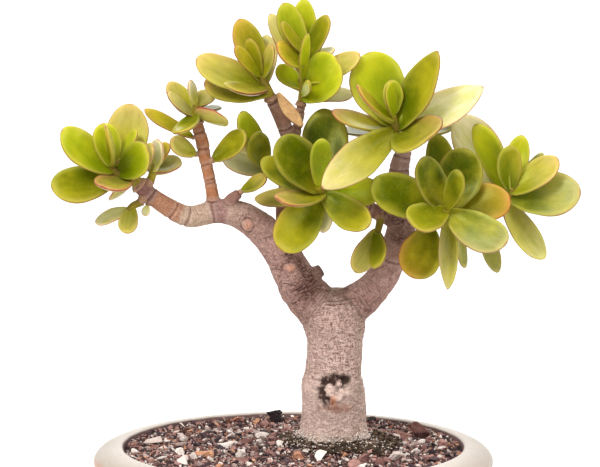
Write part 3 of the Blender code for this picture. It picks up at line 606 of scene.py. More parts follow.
def build_moss(draw):
    verts, faces, tints = [], [], []
    for _ in range(MOSS_TUFTS):
        angle = draw.uniform(0, 2 * math.pi)
        r = BURIED_RADIUS - 1.0 + (moss_reach(angle) - BURIED_RADIUS) * draw.random() ** 1.1
        x, y = round_at(r, angle, TRUNK_X, TRUNK_Y)
        size = draw.uniform(0.5, 1.7)
        points, own = chip(size, draw, detail=2 if size > 1.0 else 1)
        spike = np.array([noise(Vector(p) * 1.9 + Vector((x, y, 0))) for p in points])
        points = points * (1 + 0.5 * spike)[:, None] * np.array((1, 1, 0.9))
        join(verts, faces, points + np.array((x, y, soil_height(x, y) + 0.6 + size * 0.4)), own)
        tints += [draw.random()] * len(points)
    moss = add_piece("moss_collar", verts, faces, moss_look())
    mark(moss, "tuft_tint", tints)


def build_salt(draw):
    verts, faces = [], []
    for _ in range(SALT_FLAKES):
        angle = draw.choice((draw.gauss(3.9, 0.45), draw.gauss(5.7, 0.3), draw.uniform(0, 2 * math.pi)))
        up = max(0.0, draw.gauss(0.5, 2.2))
        out = abs(draw.gauss(0.0, 1.4)) if up > 0.6 else abs(draw.gauss(0.0, 9.0))
        r = BURIED_RADIUS - 0.4 - 0.16 * up + out
        x, y = round_at(r, angle, TRUNK_X, TRUNK_Y)
        points, own = chip(draw.uniform(0.3, 0.95), draw, detail=1)
        spot = np.array((x, y, soil_height(x, y) + 1.3 + up))
        join(verts, faces, points * np.array((1, 1, 0.7)) + spot, own)
    crust = two_tone("salt_crust", 0.9, (500.0, 2000.0, 0.4), (222, 200, 188), (252, 240, 230), 0.6, 0.0004)
    salt = add_piece("salt_crust", verts, faces, crust)


collar_draw = random.Random(MOSS_SEED)
build_moss(collar_draw)
build_salt(collar_draw)

# The wood
# Trunk, limbs and stems are one grown body: a stout trunk that forks, with a callus over an old cut on its
# front. Old bark is grey-beige and fibrous; young stems are smoother, with the ring scars of fallen leaves.
BURIED_BOTTOM = 34.0
TRUNK_SIDES = 64
LIMB_SIDES = 28
WOOD_GRAIN = 0.72
TRUNK = [
    (23, 12, 66, 41), (23, 12, 74, 38.5), (23, 12, 85, 37.6), (22.5, 12, 97, 35.5), (23.5, 12, 111, 32.3),
    (24, 12, 121, 32.6), (24, 12, 129, 35), (23, 12, 138, 38), (23, 12, 146, 34), (23.5, 12, 151, 24),
    (24, 12, 153, 12),
]
LIMBS = {
    "left_limb": [
        (25, 12, 134, 26), (13.5, 11, 144, 27.5), (5.6, 9, 153.5, 24.5), (-1.5, 6, 165.5, 22.5),
        (-8, 3, 178, 20.5), (-18, 0, 190, 18.5), (-29, -3, 198, 16.5), (-39, -5, 201, 14.5),
        (-46, -6, 201, 13.5), (-52, -7, 199.5, 12.8), (-59, -9, 198.5, 12.4), (-66, -11, 201, 11.5),
        (-74, -13, 206, 10.5), (-82, -15, 212, 9.6), (-88, -17, 218, 9),
    ],
    "upright_stem": [
        (-45, -6, 198, 9), (-46, -6, 208, 7.8), (-47, -6, 215, 7), (-49, -6, 225, 6.9), (-51, -6, 234, 7.3),
        (-52, -6, 241, 7.6), (-54, -6, 248, 7), (-55, -6, 253, 6.4),
    ],
    "top_stem": [
        (-10, 3, 181, 13), (-5, 9, 190, 11.5), (-5, 14, 202, 10.5), (-3, 16, 217, 10), (-1, 16, 230, 9.6),
        (-2, 13, 240, 9.2), (-6, 9, 251, 8.6), (-10, 6, 260, 8), (-13, 4, 266, 7.4),
    ],
    "crown_stem": [
        (-1, 15, 234, 7), (2, 14, 246, 5.6), (4, 13, 256, 5.2), (4.5, 12, 262, 5),
    ],
    "right_limb": [
        (23, 12, 134, 26), (34.5, 12, 144, 23.5), (43.5, 11, 151.5, 20), (52, 9, 161.5, 18),
        (57, 7, 174, 17.2), (61, 5, 185, 16.6), (63, 4, 195, 15.8), (63, 3, 206, 14.4), (61, 2, 216, 13),
        (61, 0, 226, 11.5), (63, -2, 235, 9.6), (62, -3, 241, 8),
    ],
    "centre_stem": [
        (62, 4, 193, 10), (50, 2, 199, 9), (36, -2, 205, 8.2), (24, -6, 209, 7.4),
    ],
    "right_stem": [
        (64, 3, 198, 11), (77, 3, 197, 10), (92, 1, 197, 9), (106, -2, 201, 8), (117, -5, 207, 7),
    ],
    "right_twig": [
        (82, 2, 197, 8), (86, -8, 199, 7.4), (88, -16, 202, 6.8),
    ],
    "left_stub": [
        (-39, -6, 202, 9), (-35.5, -7.5, 208, 7.4), (-31, -8.8, 212, 5.6),
    ],
    "saddle": [
        (11, 12, 145, 20), (18, 12, 143, 23.5), (25, 12, 142.5, 24.5), (32, 12, 143.5, 23),
        (38, 12, 146.5, 20),
    ],
    "old_stub": [
        (4, 8, 157, 12), (11, 9, 162, 9.5), (16.5, 9, 165.5, 7),
    ],
}
ROUTES = {"trunk": TRUNK, **LIMBS}
# colour of each limb's bark, light and dark
BARK_TONES = {
    "trunk": ((240, 208, 194), (172, 130, 118)),
    "left_limb": ((212, 184, 164), (164, 128, 112)),
    "upright_stem": ((196, 134, 94), (142, 86, 58)),
    "top_stem": ((176, 132, 112), (112, 74, 66)),
    "crown_stem": ((176, 134, 104), (112, 74, 60)),
    "right_limb": ((206, 166, 152), (140, 102, 92)),
    "centre_stem": ((150, 108, 92), (92, 62, 54)),
    "right_stem": ((150, 108, 96), (92, 62, 56)),
    "right_twig": ((150, 110, 92), (92, 62, 52)),
    "left_stub": ((172, 128, 112), (112, 78, 70)),
    "saddle": ((168, 144, 132), (112, 88, 80)),
    "old_stub": ((128, 100, 92), (76, 56, 52)),
}
# stretches of another colour: the limb, from and to in millimetres along it, light and dark
SPANS = [
    ("left_limb", 107, 126, (214, 184, 160), (168, 130, 108)),
    ("left_limb", 124, 145, (198, 142, 110), (142, 94, 72)),
    ("left_limb", 142, 162, (152, 108, 98), (104, 70, 64)),
    ("left_limb", 96, 106, (186, 144, 134), (128, 88, 84)),
]
# the thick part of a limb is redder and darker than its young end; some stretches are brown bark with painted
# shade
OLD_LIMB = ((208, 168, 156), (142, 102, 92))
BROWN_AND_SHADED_BARK = ((156, 112, 96), (100, 66, 56))
# ring scars: how far along the limb, in millimetres
RINGS = {
    "left_limb": (105, 120, 129, 145),
    "upright_stem": (9, 20, 22, 31, 40, 49),
    "top_stem": (40, 52, 65, 73, 91),
    "crown_stem": (14, 24),
    "right_limb": (52, 88, 98, 107, 115),
    "centre_stem": (12, 22, 33),
    "right_stem": (14, 26, 38, 49),
    "right_twig": (9, 16),
}
RING_TRUNK_HEIGHT = 101.4
# how sharply the bark's colour changes from one limb to the next
BLEND = 7.0
# the trunk is smoother and paler below this height, and the old cut lies below the next one
SMOOTH_BELOW = 102.0
CUT_BELOW = 115.0
# the old cut, as across, height, half width and half height; the lumps of new wood in it, its hollow
# (painted black, as its shade), a rusty spot and the smear below it, the same way
CALLUS = (24.6, 95.4, 9.4, 9.8)
LUMPS = [(20.6, 97.4, 3.2, 4.0), (29.4, 95.2, 4.6, 3.0), (26.6, 101.4, 1.9, 2.2), (25.4, 92.6, 3.0, 2.2)]
HOLLOW = (30.6, 102.8, 3.6, 2.2)
RUST = (22.9, 91.2, 2.6, 3.4)
SMEAR = (25.5, 86.6, 10.0, 3.0)
# wrinkles of the bark at the fork, seen from the front: from and to, as across and height
WRINKLES = [
    (6.8, 147.9, 11.4, 152.0), (11.4, 152.0, 13.6, 149.0), (14.6, 148.6, 24.0, 147.6),
    (24.0, 147.6, 35.6, 148.8), (-1.2, 147.0, 3.4, 150.6), (12.0, 157.6, 20.4, 154.6),
    (20.4, 154.6, 31.0, 155.2), (36.4, 150.4, 41.6, 142.6), (38.4, 151.0, 44.0, 143.4),
    (-13.6, 168.4, -7.4, 168.0), (2.6, 152.6, 8.0, 156.4), (-6.0, 160.0, 2.0, 158.6),
    (-18.6, 186.6, -11.0, 188.6),
]
# scars of old side shoots: across, height, half width, half height, how dark their painted shade rim is
SCARS = [(-26.2, 193.2, 3.6, 4.6, 1.0), (-1.9, 168.3, 4.8, 3.2, 0.6)]
# rough dark bark, with painted shade where the limbs part at the fork: across, depth, height, reach
DARK_AND_SHADED_PATCHES = [
    (4, -4, 155, 7.0), (9.5, -3, 153, 6.5), (12, -2, 159, 8), (61, -4, 197, 9), (60, -3, 186, 6),
    (24.1, -6, 115.4, 1.8), (44, 0, 141, 5), (-10, -6, 168, 3), (-1.5, -6, 176.0, 6.5), (5, -4, 171, 6.5),
    (8, -2, 165, 6),
]
# broad browner stretches of bark, partly painted shade about the fork and under the left limb, the same way
BROWN_AND_SHADED_PATCHES = [
    (4, 0, 147, 14), (-1, -4, 182, 15), (-18, -4, 198, 12), (8, 0, 163, 14), (46, 0, 150, 13),
    (57, -2, 178, 18),
]


def smooth_route(points, steps):
    """Points on a smooth curve through the route; the fourth number is the thickness."""
    rows = [Vector(p) for p in points]
    rows = [rows[0] * 2 - rows[1]] + rows + [rows[-1] * 2 - rows[-2]]
    out = []
    for a, b, c, d in zip(rows, rows[1:], rows[2:], rows[3:]):
        out += [curve_point(a, b, c, d, k / steps) for k in range(steps)]
    return out + [rows[-2]]


def tube(points, sides):
    """A round stem of changing thickness: a curve with a bevel and filled ends, as points and faces."""
    curve = bpy.data.curves.new("stem", "CURVE")
    curve.dimensions = "3D"
    curve.bevel_depth = 0.5
    curve.bevel_resolution = (sides - 4) // 2
    curve.use_fill_caps = True
    line = curve.splines.new("POLY")
    line.points.add(len(points) - 1)
    for point, (x, y, z, thick) in zip(line.points, points):
        point.co = (x, y, z, 1.0)
        point.radius = thick
    holder = bpy.data.objects.new("stem", curve)
    shape = bmesh.new()
    shape.from_mesh(bpy.data.meshes.new_from_object(holder))
    bmesh.ops.remove_doubles(shape, verts=shape.verts, dist=0.001)
    bpy.data.objects.remove(holder, do_unlink=True)
    bpy.data.curves.remove(curve)
    verts, faces = taken(shape)
    return verts.tolist(), faces


def trunk_radius(angle, height, base):
    """Flutes and swellings of the trunk, and the callus of an old cut on its front."""
    flutes = 0.035 * math.sin(3 * angle + 0.6) + 0.025 * math.sin(5 * angle + height * 0.03)
    fade = min(1.0, max(0.0, (height - 66.0) / 12.0))
    radius = base * (1 + flutes * fade)
    front = math.cos(angle + math.pi / 2 - 0.12)
    callus = math.exp(-((height - 93.0) / 8.0) ** 2) * max(0.0, front) ** 12
    return radius + 1.8 * callus


def walls(rings, sides):
    """Faces between rings of points that follow each other."""
    faces = []
    for low in range(0, (rings - 1) * sides, sides):
        for k in range(sides):
            nxt = (k + 1) % sides
            faces.append((low + k, low + nxt, low + sides + nxt, low + sides + k))
    return faces


def fused_wood():
    """Trunk and limbs as one closed skin of even small faces: points in millimetres, normals and faces."""
    rows = [(TRUNK_X, TRUNK_Y, BURIED_BOTTOM, 2 * BURIED_RADIUS), (TRUNK_X, TRUNK_Y, 50.0, 2 * BURIED_RADIUS)]
    rows += [tuple(p) for p in smooth_route(TRUNK, 5)]
    verts = []
    for x, y, z, thick in rows:
        for k in range(TRUNK_SIDES):
            angle = 2 * math.pi * k / TRUNK_SIDES
            verts.append((*round_at(trunk_radius(angle, z, thick / 2), angle, x, y), z))
    faces = [tuple(range(TRUNK_SIDES))[::-1]] + walls(len(rows), TRUNK_SIDES)
    faces.append(tuple(range(len(verts) - TRUNK_SIDES, len(verts))))
    for route in LIMBS.values():
        join(verts, faces, *tube(smooth_route(route, 5), LIMB_SIDES))
    mesh = bpy.data.meshes.new("rough_wood")
    mesh.from_pydata(verts, [], faces)
    holder = set_out("rough_wood", mesh)
    remesh = holder.modifiers.new("fuse", "REMESH")
    remesh.mode = "VOXEL"
    remesh.voxel_size = WOOD_GRAIN
    soften = holder.modifiers.new("soften", "SMOOTH")
    soften.factor = 0.6
    soften.iterations = 6
    graph = bpy.context.evaluated_depsgraph_get()
    skin = bpy.data.meshes.new_from_object(holder.evaluated_get(graph))
    fields = []
    for key in ("co", "normal"):
        field = np.zeros(len(skin.vertices) * 3, np.float32)
        skin.vertices.foreach_get(key, field)
        fields.append(field.reshape(-1, 3).astype(float))
    bpy.data.objects.remove(holder, do_unlink=True)
    return *fields, [tuple(face.vertices) for face in skin.polygons]


def noises(points, across, along=None):
    """Noise at each point; the two numbers are how fast it changes across and along the grain."""
    scale = np.array((across, across, along or across))
    return np.array([noise(Vector(p)) for p in points * scale])


def follow(points, route):
    """For each point: its distance from the limb's middle over the limb's radius, and its place on it.

    The place is unrolled: two numbers for the way round, times the radius, and one for the way along.
    """
    line = smooth_route(route, 10)
    centres = np.array([tuple(p)[:3] for p in line])
    radii = np.array([p[3] / 2 for p in line])
    steps = np.linalg.norm(np.diff(centres, axis=0), axis=1)
    along = np.concatenate(((0.0,), np.cumsum(steps)))
    ahead = np.gradient(centres, axis=0)
    ahead /= np.linalg.norm(ahead, axis=1)[:, None]
    side = np.cross(ahead, np.array((0.0, 1.0, 0.0)))
    side /= np.linalg.norm(side, axis=1)[:, None]
    other = np.cross(ahead, side)
    gaps = ((points[:, None, :] - centres[None, :, :]) ** 2).sum(axis=2)
    near = gaps.argmin(axis=1)
    away = points - centres[near]
    length = along[near] + (away * ahead[near]).sum(axis=1)
    flat = away - (away * ahead[near]).sum(axis=1)[:, None] * ahead[near]
    ratio = np.linalg.norm(away, axis=1) / radii[near]
    place = np.stack(((flat * side[near]).sum(axis=1), (flat * other[near]).sum(axis=1), length), axis=1)
    return ratio, place


def near_spot(points, spot):
    """1 at the spot's middle, 0 at its reach and beyond."""
    gap = np.linalg.norm(points - np.array(spot[:3]), axis=1)
    return unit(1 - gap / spot[3])


def hump(value, middle, width):
    """1 at the middle, and less and less beyond the width."""
    return np.exp(-((value - middle) / width) ** 2)


def stretched(tree, place, scale):
    """A place that is drawn out or packed along its three ways."""
    made = tree.nodes.new("ShaderNodeMapping")
    made.inputs["Scale"].default_value = scale
    feed(tree, made.inputs["Vector"], place)
    return made.outputs[0]


def bark_look():
    """Bark fibres and cracks, then layer on layer of what lies over them."""
    made, tree, shader = new_material("bark_skin", 0.85)
    grain = read(tree, "grain", "Vector")
    fibre = placed(tree, mottle, (0.8, 2.3, 0.6), stretched(tree, grain, (1.0, 1.0, 0.26)))["Cloud"]
    cracks = placed(tree, mottle, (0.75, 1.9, 0.55), stretched(tree, grain, (0.42, 0.42, 1.9)))["Cloud"]
    pits = placed(tree, specks, (0.9, 0.3, 0.42), stretched(tree, grain, (1.25, 1.25, 0.36)))["Mask"]
    broad = placed(tree, mottle, (60.0, 700.0, 0.4))["Cloud"]
    age = read(tree, "bark_age")
    lines = ramp(tree, cracks, 0.54, 0.8)
    flakes = times(tree, ramp(tree, cracks, 0.42, 0.14), 0.85)
    fibres = times(tree, ramp(tree, fibre, 0.3, 0.95), plus(tree, times(tree, age, 0.7), 0.3))
    share = plus(tree, fibres, times(tree, broad, 0.3))
    colour = mixed(tree, share, read(tree, "bark_light", "Color"), read(tree, "bark_dark", "Color"))
    for mask, shade in (
        (times(tree, times(tree, lines, 0.75), age), (92, 60, 50)),
        (times(tree, times(tree, pits, 0.6), age), (104, 66, 58)),
        (times(tree, flakes, read(tree, "flaking")), (240, 216, 204)),
        (read(tree, "pale_bark"), (228, 206, 192)),
        (read(tree, "pink_bark"), (244, 214, 200)),
        (read(tree, "rust_bark"), (222, 148, 108)),
        # ring scars and smear, with painted shade in the wrinkles' creases and on the scars' upper rims
        (read(tree, "ring_line_and_shade"), (112, 66, 54)),
        # rough dark bark, with painted shade in the fork's crotch
        (times(tree, read(tree, "dark_bark_and_shade"), plus(tree, ramp(tree, cracks, 0.3, 0.75), 0.3)), (84, 52, 44)),
        # near black: painted shade in the old cut's groove, hollow and creases and on the scars' rims, over
        # the dark of old wood
        (read(tree, "dark_wood_and_recess_shade"), (58, 36, 27)),
        (times(tree, read(tree, "moss_bark"), broad), (106, 96, 56)),
        (times(tree, read(tree, "salt_bark"), ramp(tree, cracks, 0.25, 0.6)), (228, 216, 196)),
    ):
        colour = mixed(tree, mask, colour, shade)
    feed(tree, shader.inputs["Base Color"], colour)
    shader.inputs["Specular IOR Level"].default_value = 0.25
    hollows = plus(tree, fibre, times(tree, lines, 0.7))
    bumped(tree, shader, reckon(tree, "SUBTRACT", 1.0, hollows), 0.9, 0.0009)
    return made


def on_front(points, across, height):
    """The point of the skin that is seen at a place of the front view."""
    close = (np.abs(points[:, 0] - across) < 1.2) & (np.abs(points[:, 2] - height) < 1.2)
    return np.array((across, points[close, 1].min(), height))


def ellipse(points, spot):
    """How far each point is from a spot's middle, in the front view, as a share of its half sizes."""
    return np.hypot((points[:, 0] - spot[0]) / spot[2], (points[:, 2] - spot[1]) / spot[3])


def segment_gap(points, row):
    """Distance of each point from a line, in the front view."""
    start, way = np.array(row[:2]), np.array(row[2:]) - np.array(row[:2])
    flat = points[:, (0, 2)] - start
    share = unit(flat @ way / (way @ way))
    return np.linalg.norm(flat - share[:, None] * way, axis=1)


def route_sizes(route):
    """Distances along a route, and the radius at each."""
    line = smooth_route(route, 4)
    gaps = [(Vector(b[:3]) - Vector(a[:3])).length for a, b in zip(line, line[1:])]
    return np.concatenate(((0.0,), np.cumsum(gaps))), np.array([p[3] / 2 for p in line])


def shifted(tones, others, share):
    """Light and dark bark, shifted at each point by a share towards two other colours."""
    share = share[:, None]
    return [tone * (1 - share) + np.array(paint(*other)) * share for tone, other in zip(tones, others)]


def bark_tones(points, places, weights, radius, low_trunk):
    """The light and the dark colour of the bark at each point."""
    tones = [sum(w[:, None] * np.array(paint(*pair[i])) for w, pair in zip(weights, BARK_TONES.values()))
             for i in (0, 1)]
    tones = shifted(tones, OLD_LIMB, (1 - weights[0]) * unit((radius - 5.5) / 4.0))
    for name, start, end, *span in SPANS:
        i = list(ROUTES).index(name)
        off = places[i][:, 2] + noises(points, 0.2)
        within = unit((off - start) / 2) * unit((end - off) / 2)
        tones = shifted(tones, span, within * weights[i])
    # browner bark, partly painted shade about the fork and under the left limb
    brown_and_shade = unit(sum(near_spot(points, spot) for spot in BROWN_AND_SHADED_PATCHES))
    light, dark = shifted(tones, BROWN_AND_SHADED_BARK, brown_and_shade * np.clip(0.75 + noises(points, 0.16), 0.2, 1) * 0.6)
    return light, dark + (light - dark) * (0.45 * low_trunk)[:, None]


def ring_scars(grain, ratios, places, owner):
    """The sunk line of each ring scar, and the lip on both its sides."""
    ring, lip = np.zeros(len(grain)), np.zeros(len(grain))
    waver = 0.8 * noises(grain, 0.12)
    for i, name in enumerate(ROUTES):
        mine = (owner == i) * (ratios[i] < 1.5)
        for spot in RINGS.get(name, ()):
            off = np.abs(places[i][:, 2] - spot + waver)
            ring = np.maximum(ring, hump(off, 0, 0.5) * mine)
            lip = np.maximum(lip, hump(off, 1.5, 0.9) * mine)
    return ring, lip


def shoot_scars(points, ragged):
    """The knobs left by old side shoots, and a dark rim on the upper side of each: painted shade above the
    knob.
    """
    scar, shade_rims = 0, 0
    for across, height, half_width, half_height, rim in SCARS:
        gap = points - on_front(points, across, height)
        gap = np.linalg.norm(gap / (half_width, 1.3 * half_width, half_height), axis=1) + 0.5 * ragged
        scar = scar + np.exp(-(gap / 0.7) ** 4) * np.clip(0.85 + 0.9 * noises(points, 0.5), 0.3, 1)
        upper = unit(0.75 + 0.25 * (points[:, 2] - height) / half_height + noises(points, 0.3))
        shade_rims = shade_rims + (hump(gap, 1.05, 0.14) + 0.5 * hump(gap, 1.5, 0.1)) * upper * rim
    return scar, shade_rims


def build_wood():
    """Skin and colours of the wood; what stands proud of the skin or sinks in is in millimetres."""
    points, normals, faces = fused_wood()
    ratios, places = (np.array(part) for part in zip(*(follow(points, route) for route in ROUTES.values())))
    owner = ratios.argmin(axis=0)
    grain = places[owner, np.arange(len(points))]
    weights = np.exp(-BLEND * (ratios - ratios.min(axis=0)))
    weights /= weights.sum(axis=0)
    radius = sum(weight * np.interp(place[:, 2], *route_sizes(route))
                 for weight, place, route in zip(weights, places, ROUTES.values()))
    age = unit((radius - 4.5) / 8.0)
    low_trunk = unit((SMOOTH_BELOW - points[:, 2]) / 3.0) * (owner == 0)
    light, dark = bark_tones(points, places, weights, radius, low_trunk)

    # ring scars, and the one round the trunk, below which it is a little thicker
    ring, lip = ring_scars(grain, ratios, places, owner)
    on_trunk = (owner == 0) * (points[:, 1] < 14)
    side_only = unit((np.abs(points[:, 0] - CALLUS[0]) - 9.0) / 3.0)
    off = points[:, 2] - RING_TRUNK_HEIGHT + 1.2 * noises(points, 0.08)
    trunk_ring = hump(off, 0, 0.6) * on_trunk * side_only * unit(0.6 + noises(points, 0.2))
    step = unit(-off) * unit(1 + off / 14.0) * (owner == 0)

    # the old cut: a sunk groove round its left side, lumps of new wood, a hollow and creases between; the
    # groove, hollow and creases are painted near black, painted shade over the dark of old wood
    front = (points[:, 1] < 0) * (points[:, 2] < CUT_BELOW)
    ragged = noises(points, 0.3) * 0.22 + noises(points, 0.9) * 0.16
    r = ellipse(points, CALLUS) + ragged
    turn = np.arctan2(points[:, 2] - CALLUS[1], points[:, 0] - CALLUS[0])
    left_side = unit(0.45 - 0.7 * np.cos(turn) + 0.6 * np.sin(turn)) ** 0.6
    collar = hump(r, 1.26, 0.16) * front
    gnarled = 0.45 * noises(points, 0.42) + 0.3 * noises(points, 0.95)
    lump = sum(unit(1.15 - ellipse(points, spot) ** 2 + 1.5 * gnarled) for spot in LUMPS) * front
    lump = unit(lump)
    hollow = unit(1.3 - ellipse(points, HOLLOW) + ragged) * front * (1 - lump)
    groove = unit(unit(hump(r, 0.84, 0.25) * 1.7) * left_side * front - 0.8 * lump)
    creased = unit(1.9 - 2.1 * r) * (1 - lump) ** 2 * unit(0.6 + 1.6 * ragged) * front
    inner = np.clip(1.05 - r, 0, 0.5) * front

    # wrinkles at the fork with painted shade in their creases, scars of side shoots with painted shade on
    # their upper rims, and rough dark bark with painted shade in the fork's crotch
    folds = np.min([segment_gap(points, row) for row in WRINKLES], axis=0)
    broken = (points[:, 1] < 10) * unit(0.55 + 1.3 * noises(points, 0.25))
    fold_ridge = hump(folds, 0, 0.45) * broken
    # the dark band beside each wrinkle's ridge is painted shade in its crease
    fold_shade = hump(folds, 1.0, 0.42) * broken
    scar, scar_shade_rim = shoot_scars(points, ragged)
    dark_and_shaded_patch = unit(sum(near_spot(points, spot) for spot in DARK_AND_SHADED_PATCHES) * 1.4)
    # painted shade in the crotch where the two limbs part
    crotch_shade = hump(points[:, 0], 28, 11) * hump(points[:, 2], 154, 6) * (points[:, 1] < 16)

    # the skin pushed out or in, above the soil only
    above = unit((points[:, 2] - SOIL_AT_WALL) / 2.0)
    ridges = noises(grain, 0.55, 0.12) * 0.42 * (0.15 + 0.85 * age) * (1 - 0.4 * low_trunk)
    ridges += noises(grain, 0.9, 0.5) * 0.22 * age
    checks = np.clip(noises(grain + 40, 0.3, 0.8) - 0.2, 0, None) * -1.2 * age
    lumps = noises(points, 0.13) * 0.6 * age
    rough = (noises(points, 0.6) * 0.9 + noises(points, 1.2) * 0.5) * dark_and_shaded_patch
    knots = np.clip(noises(grain, 0.2, 0.2) - 0.35, 0, None) * 2.2 * age * (owner > 0)
    shift = (ridges + checks + lumps + rough + knots - 0.4 * ring + 0.15 * lip - 0.25 * trunk_ring
             + 0.5 * step - 2.0 * groove - 1.8 * hollow + 0.5 * collar + 1.2 * lump + 0.4 * fold_ridge
             - 0.35 * fold_shade + 0.7 * scar - 0.6 * scar_shade_rim - 0.8 * creased) * above
    points = points + normals * shift[:, None]

    made = add_piece("jade_wood", points, faces, bark_look())
    mark(made, "grain", grain, "FLOAT_VECTOR")
    mark(made, "bark_light", light, "FLOAT_COLOR")
    mark(made, "bark_dark", dark, "FLOAT_COLOR")
    smear = unit(1.2 - ellipse(points, SMEAR) + 2 * ragged) * front
    rust = unit(1.2 - ellipse(points, RUST)) * front
    rotted = np.clip(0.85 + 0.8 * noises(points, 0.55), 0.5, 1)
    # near black where the cut's groove, hollow and creases sink in and on the scars' rims: painted shade,
    # over the dark of old wood
    black_shade = 1.2 * groove * rotted + hollow + 0.75 * creased + 0.45 * scar_shade_rim
    patchy = unit(noises(points, 0.35, 1.2) + 0.4)
    foot = unit((72.0 + 3.5 * noises(points, 0.2) - points[:, 2]) / 4.0)
    green_side = hump(points[:, 0], 37.5, 3.0) * (points[:, 2] < 142) * (owner == 0) * 0.45
    damp = unit((73.0 - points[:, 2]) / 6.0) * hump(points[:, 0], 30.0, 8.0) * 1.3
    for name, most, mask in (
        # ring scars and smear, with painted shade in the wrinkles' creases and on the scars' upper rims
        ("ring_line_and_shade", 0.9, 0.75 * ring + 0.7 * fold_shade + 0.8 * scar_shade_rim + 0.65 * smear),
        # painted shade in the cut's recesses, over the dark of old wood
        ("dark_wood_and_recess_shade", 0.95, 1.5 * black_shade - 0.3),
        ("bark_age", 1, 0.2 + 0.8 * age - 0.35 * low_trunk),
        ("flaking", 1, age * (0.25 + 0.75 * weights[0]) * (1 - 0.8 * dark_and_shaded_patch)),
        ("pale_bark", 0.8, 0.18 * lip + 0.25 * fold_ridge + 0.45 * trunk_ring + 0.25 * collar),
        ("pink_bark", 0.9, 0.8 * lump + 0.3 * inner + 0.35 * scar),
        ("rust_bark", 0.9, rust + 0.6 * scar + 0.4 * smear),
        # rough dark bark, and painted shade in the fork's crotch
        ("dark_bark_and_shade", 1, dark_and_shaded_patch + 0.5 * crotch_shade * patchy),
        ("moss_bark", 1, damp + green_side),
        ("salt_bark", 1, foot * np.clip(np.abs(points[:, 0] - 30.0) / 12.0, 0.1, 0.9)),
    ):
        mark(made, name, np.clip(mask, 0, most))
    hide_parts("trunk_and_branches")


build_wood()

# The leaves
# Each shoot is a short green stem with thick glossy leaves in pairs: spoon shaped, plump, cupped a little.
# They are olive to yellow-green, paler beneath, and where the sun falls their thin edge turns orange or red.
LEAF_THICK = 3.8
LEAF_STATIONS = (0.0, 0.16, 0.36, 0.6, 0.82, 0.95)
LEAF_FOOT = 0.3
LEAF_SHAPES = {"round": (0.6, 2.1, 0.55), "pointed": (0.52, 1.75, 0.72)}
LEAF_BOW = 0.09
LEAF_CUP = 0.12
CLEARANCE = 0.45
# between leaves of one shoot: how much it is swollen for the test, and the share of its length left out
OUTER_PART = (0.1, 0.35)
VIEW_SLOPE = 0.127
FINE_STATIONS = 24
FINE_SIDES = 22
LEAF_SEED = 11
# what the flesh reads from the mesh: its colour, its rim's, how near the edge and how red, and its place
LEAF_FIELDS = {
    "leaf_body": "FLOAT_COLOR", "leaf_rim": "FLOAT_COLOR",
    "leaf_margin": "FLOAT_VECTOR", "leaf_place": "FLOAT_VECTOR",
}
# each look: colour at the foot, at the tip and beneath, the edge's colour, how far the blush spreads from
# the edge, and how strong the thin line along the edge is
# the foot's colour is darker partly as painted shade where the leaves crowd at a shoot's middle
LOOKS = {
    # a lime leaf lifted by painted light, for leaves that lie in shade
    "bright": ((136, 150, 0), (196, 200, 34), (188, 190, 92), (172, 112, 84), 0.15, 0.6),
    "lime": ((112, 124, 0), (174, 180, 28), (172, 174, 84), (166, 106, 80), 0.16, 0.6),
    "olive": ((86, 96, 0), (152, 146, 24), (148, 146, 78), (158, 98, 74), 0.2, 0.6),
    "deep": ((52, 68, 0), (98, 106, 2), (108, 112, 40), (146, 118, 46), 0.14, 0.45),
    # a deep green leaf darkened further by painted shade, for leaves that lie in shade
    "dark": ((38, 54, 0), (76, 86, 2), (88, 94, 28), (140, 106, 44), 0.16, 0.5),
    "gold": ((118, 122, 0), (186, 162, 50), (172, 162, 88), (176, 98, 66), 0.34, 0.75),
    "straw": ((140, 138, 26), (198, 180, 106), (190, 180, 130), (174, 106, 90), 0.26, 0.65),
    "pale": ((128, 124, 14), (206, 192, 142), (194, 186, 142), (172, 108, 98), 0.24, 0.8),
    # a pale cream leaf, used as well as painted light on leaves that lie in shade
    "cream": ((190, 186, 104), (238, 228, 206), (232, 224, 198), (190, 116, 102), 0.18, 0.75),
    "sage": ((106, 114, 32), (164, 162, 106), (164, 162, 124), (162, 106, 94), 0.24, 0.65),
    "blush": ((118, 118, 18), (180, 158, 88), (180, 168, 110), (176, 88, 78), 0.55, 0.9),
    "sun": ((92, 92, 0), (156, 132, 34), (148, 134, 66), (174, 100, 54), 0.5, 0.75),
    "wine": ((112, 112, 16), (176, 156, 80), (156, 144, 90), (142, 62, 54), 0.42, 0.9),
    "stem": ((132, 112, 50), (150, 118, 60), (132, 112, 50), (150, 100, 60), 0.0, 0.0),
}
# the side of a leaf that is drawn paler and redder, as the photo shows it: its own sun colouring, with
# painted light on the side that was lit
SUN_AND_LIT_SIDES = {"left": (-1, 0, 0), "right": (1, 0, 0), "upper": (0, 0, 1), "lower": (0, 0, -1)}
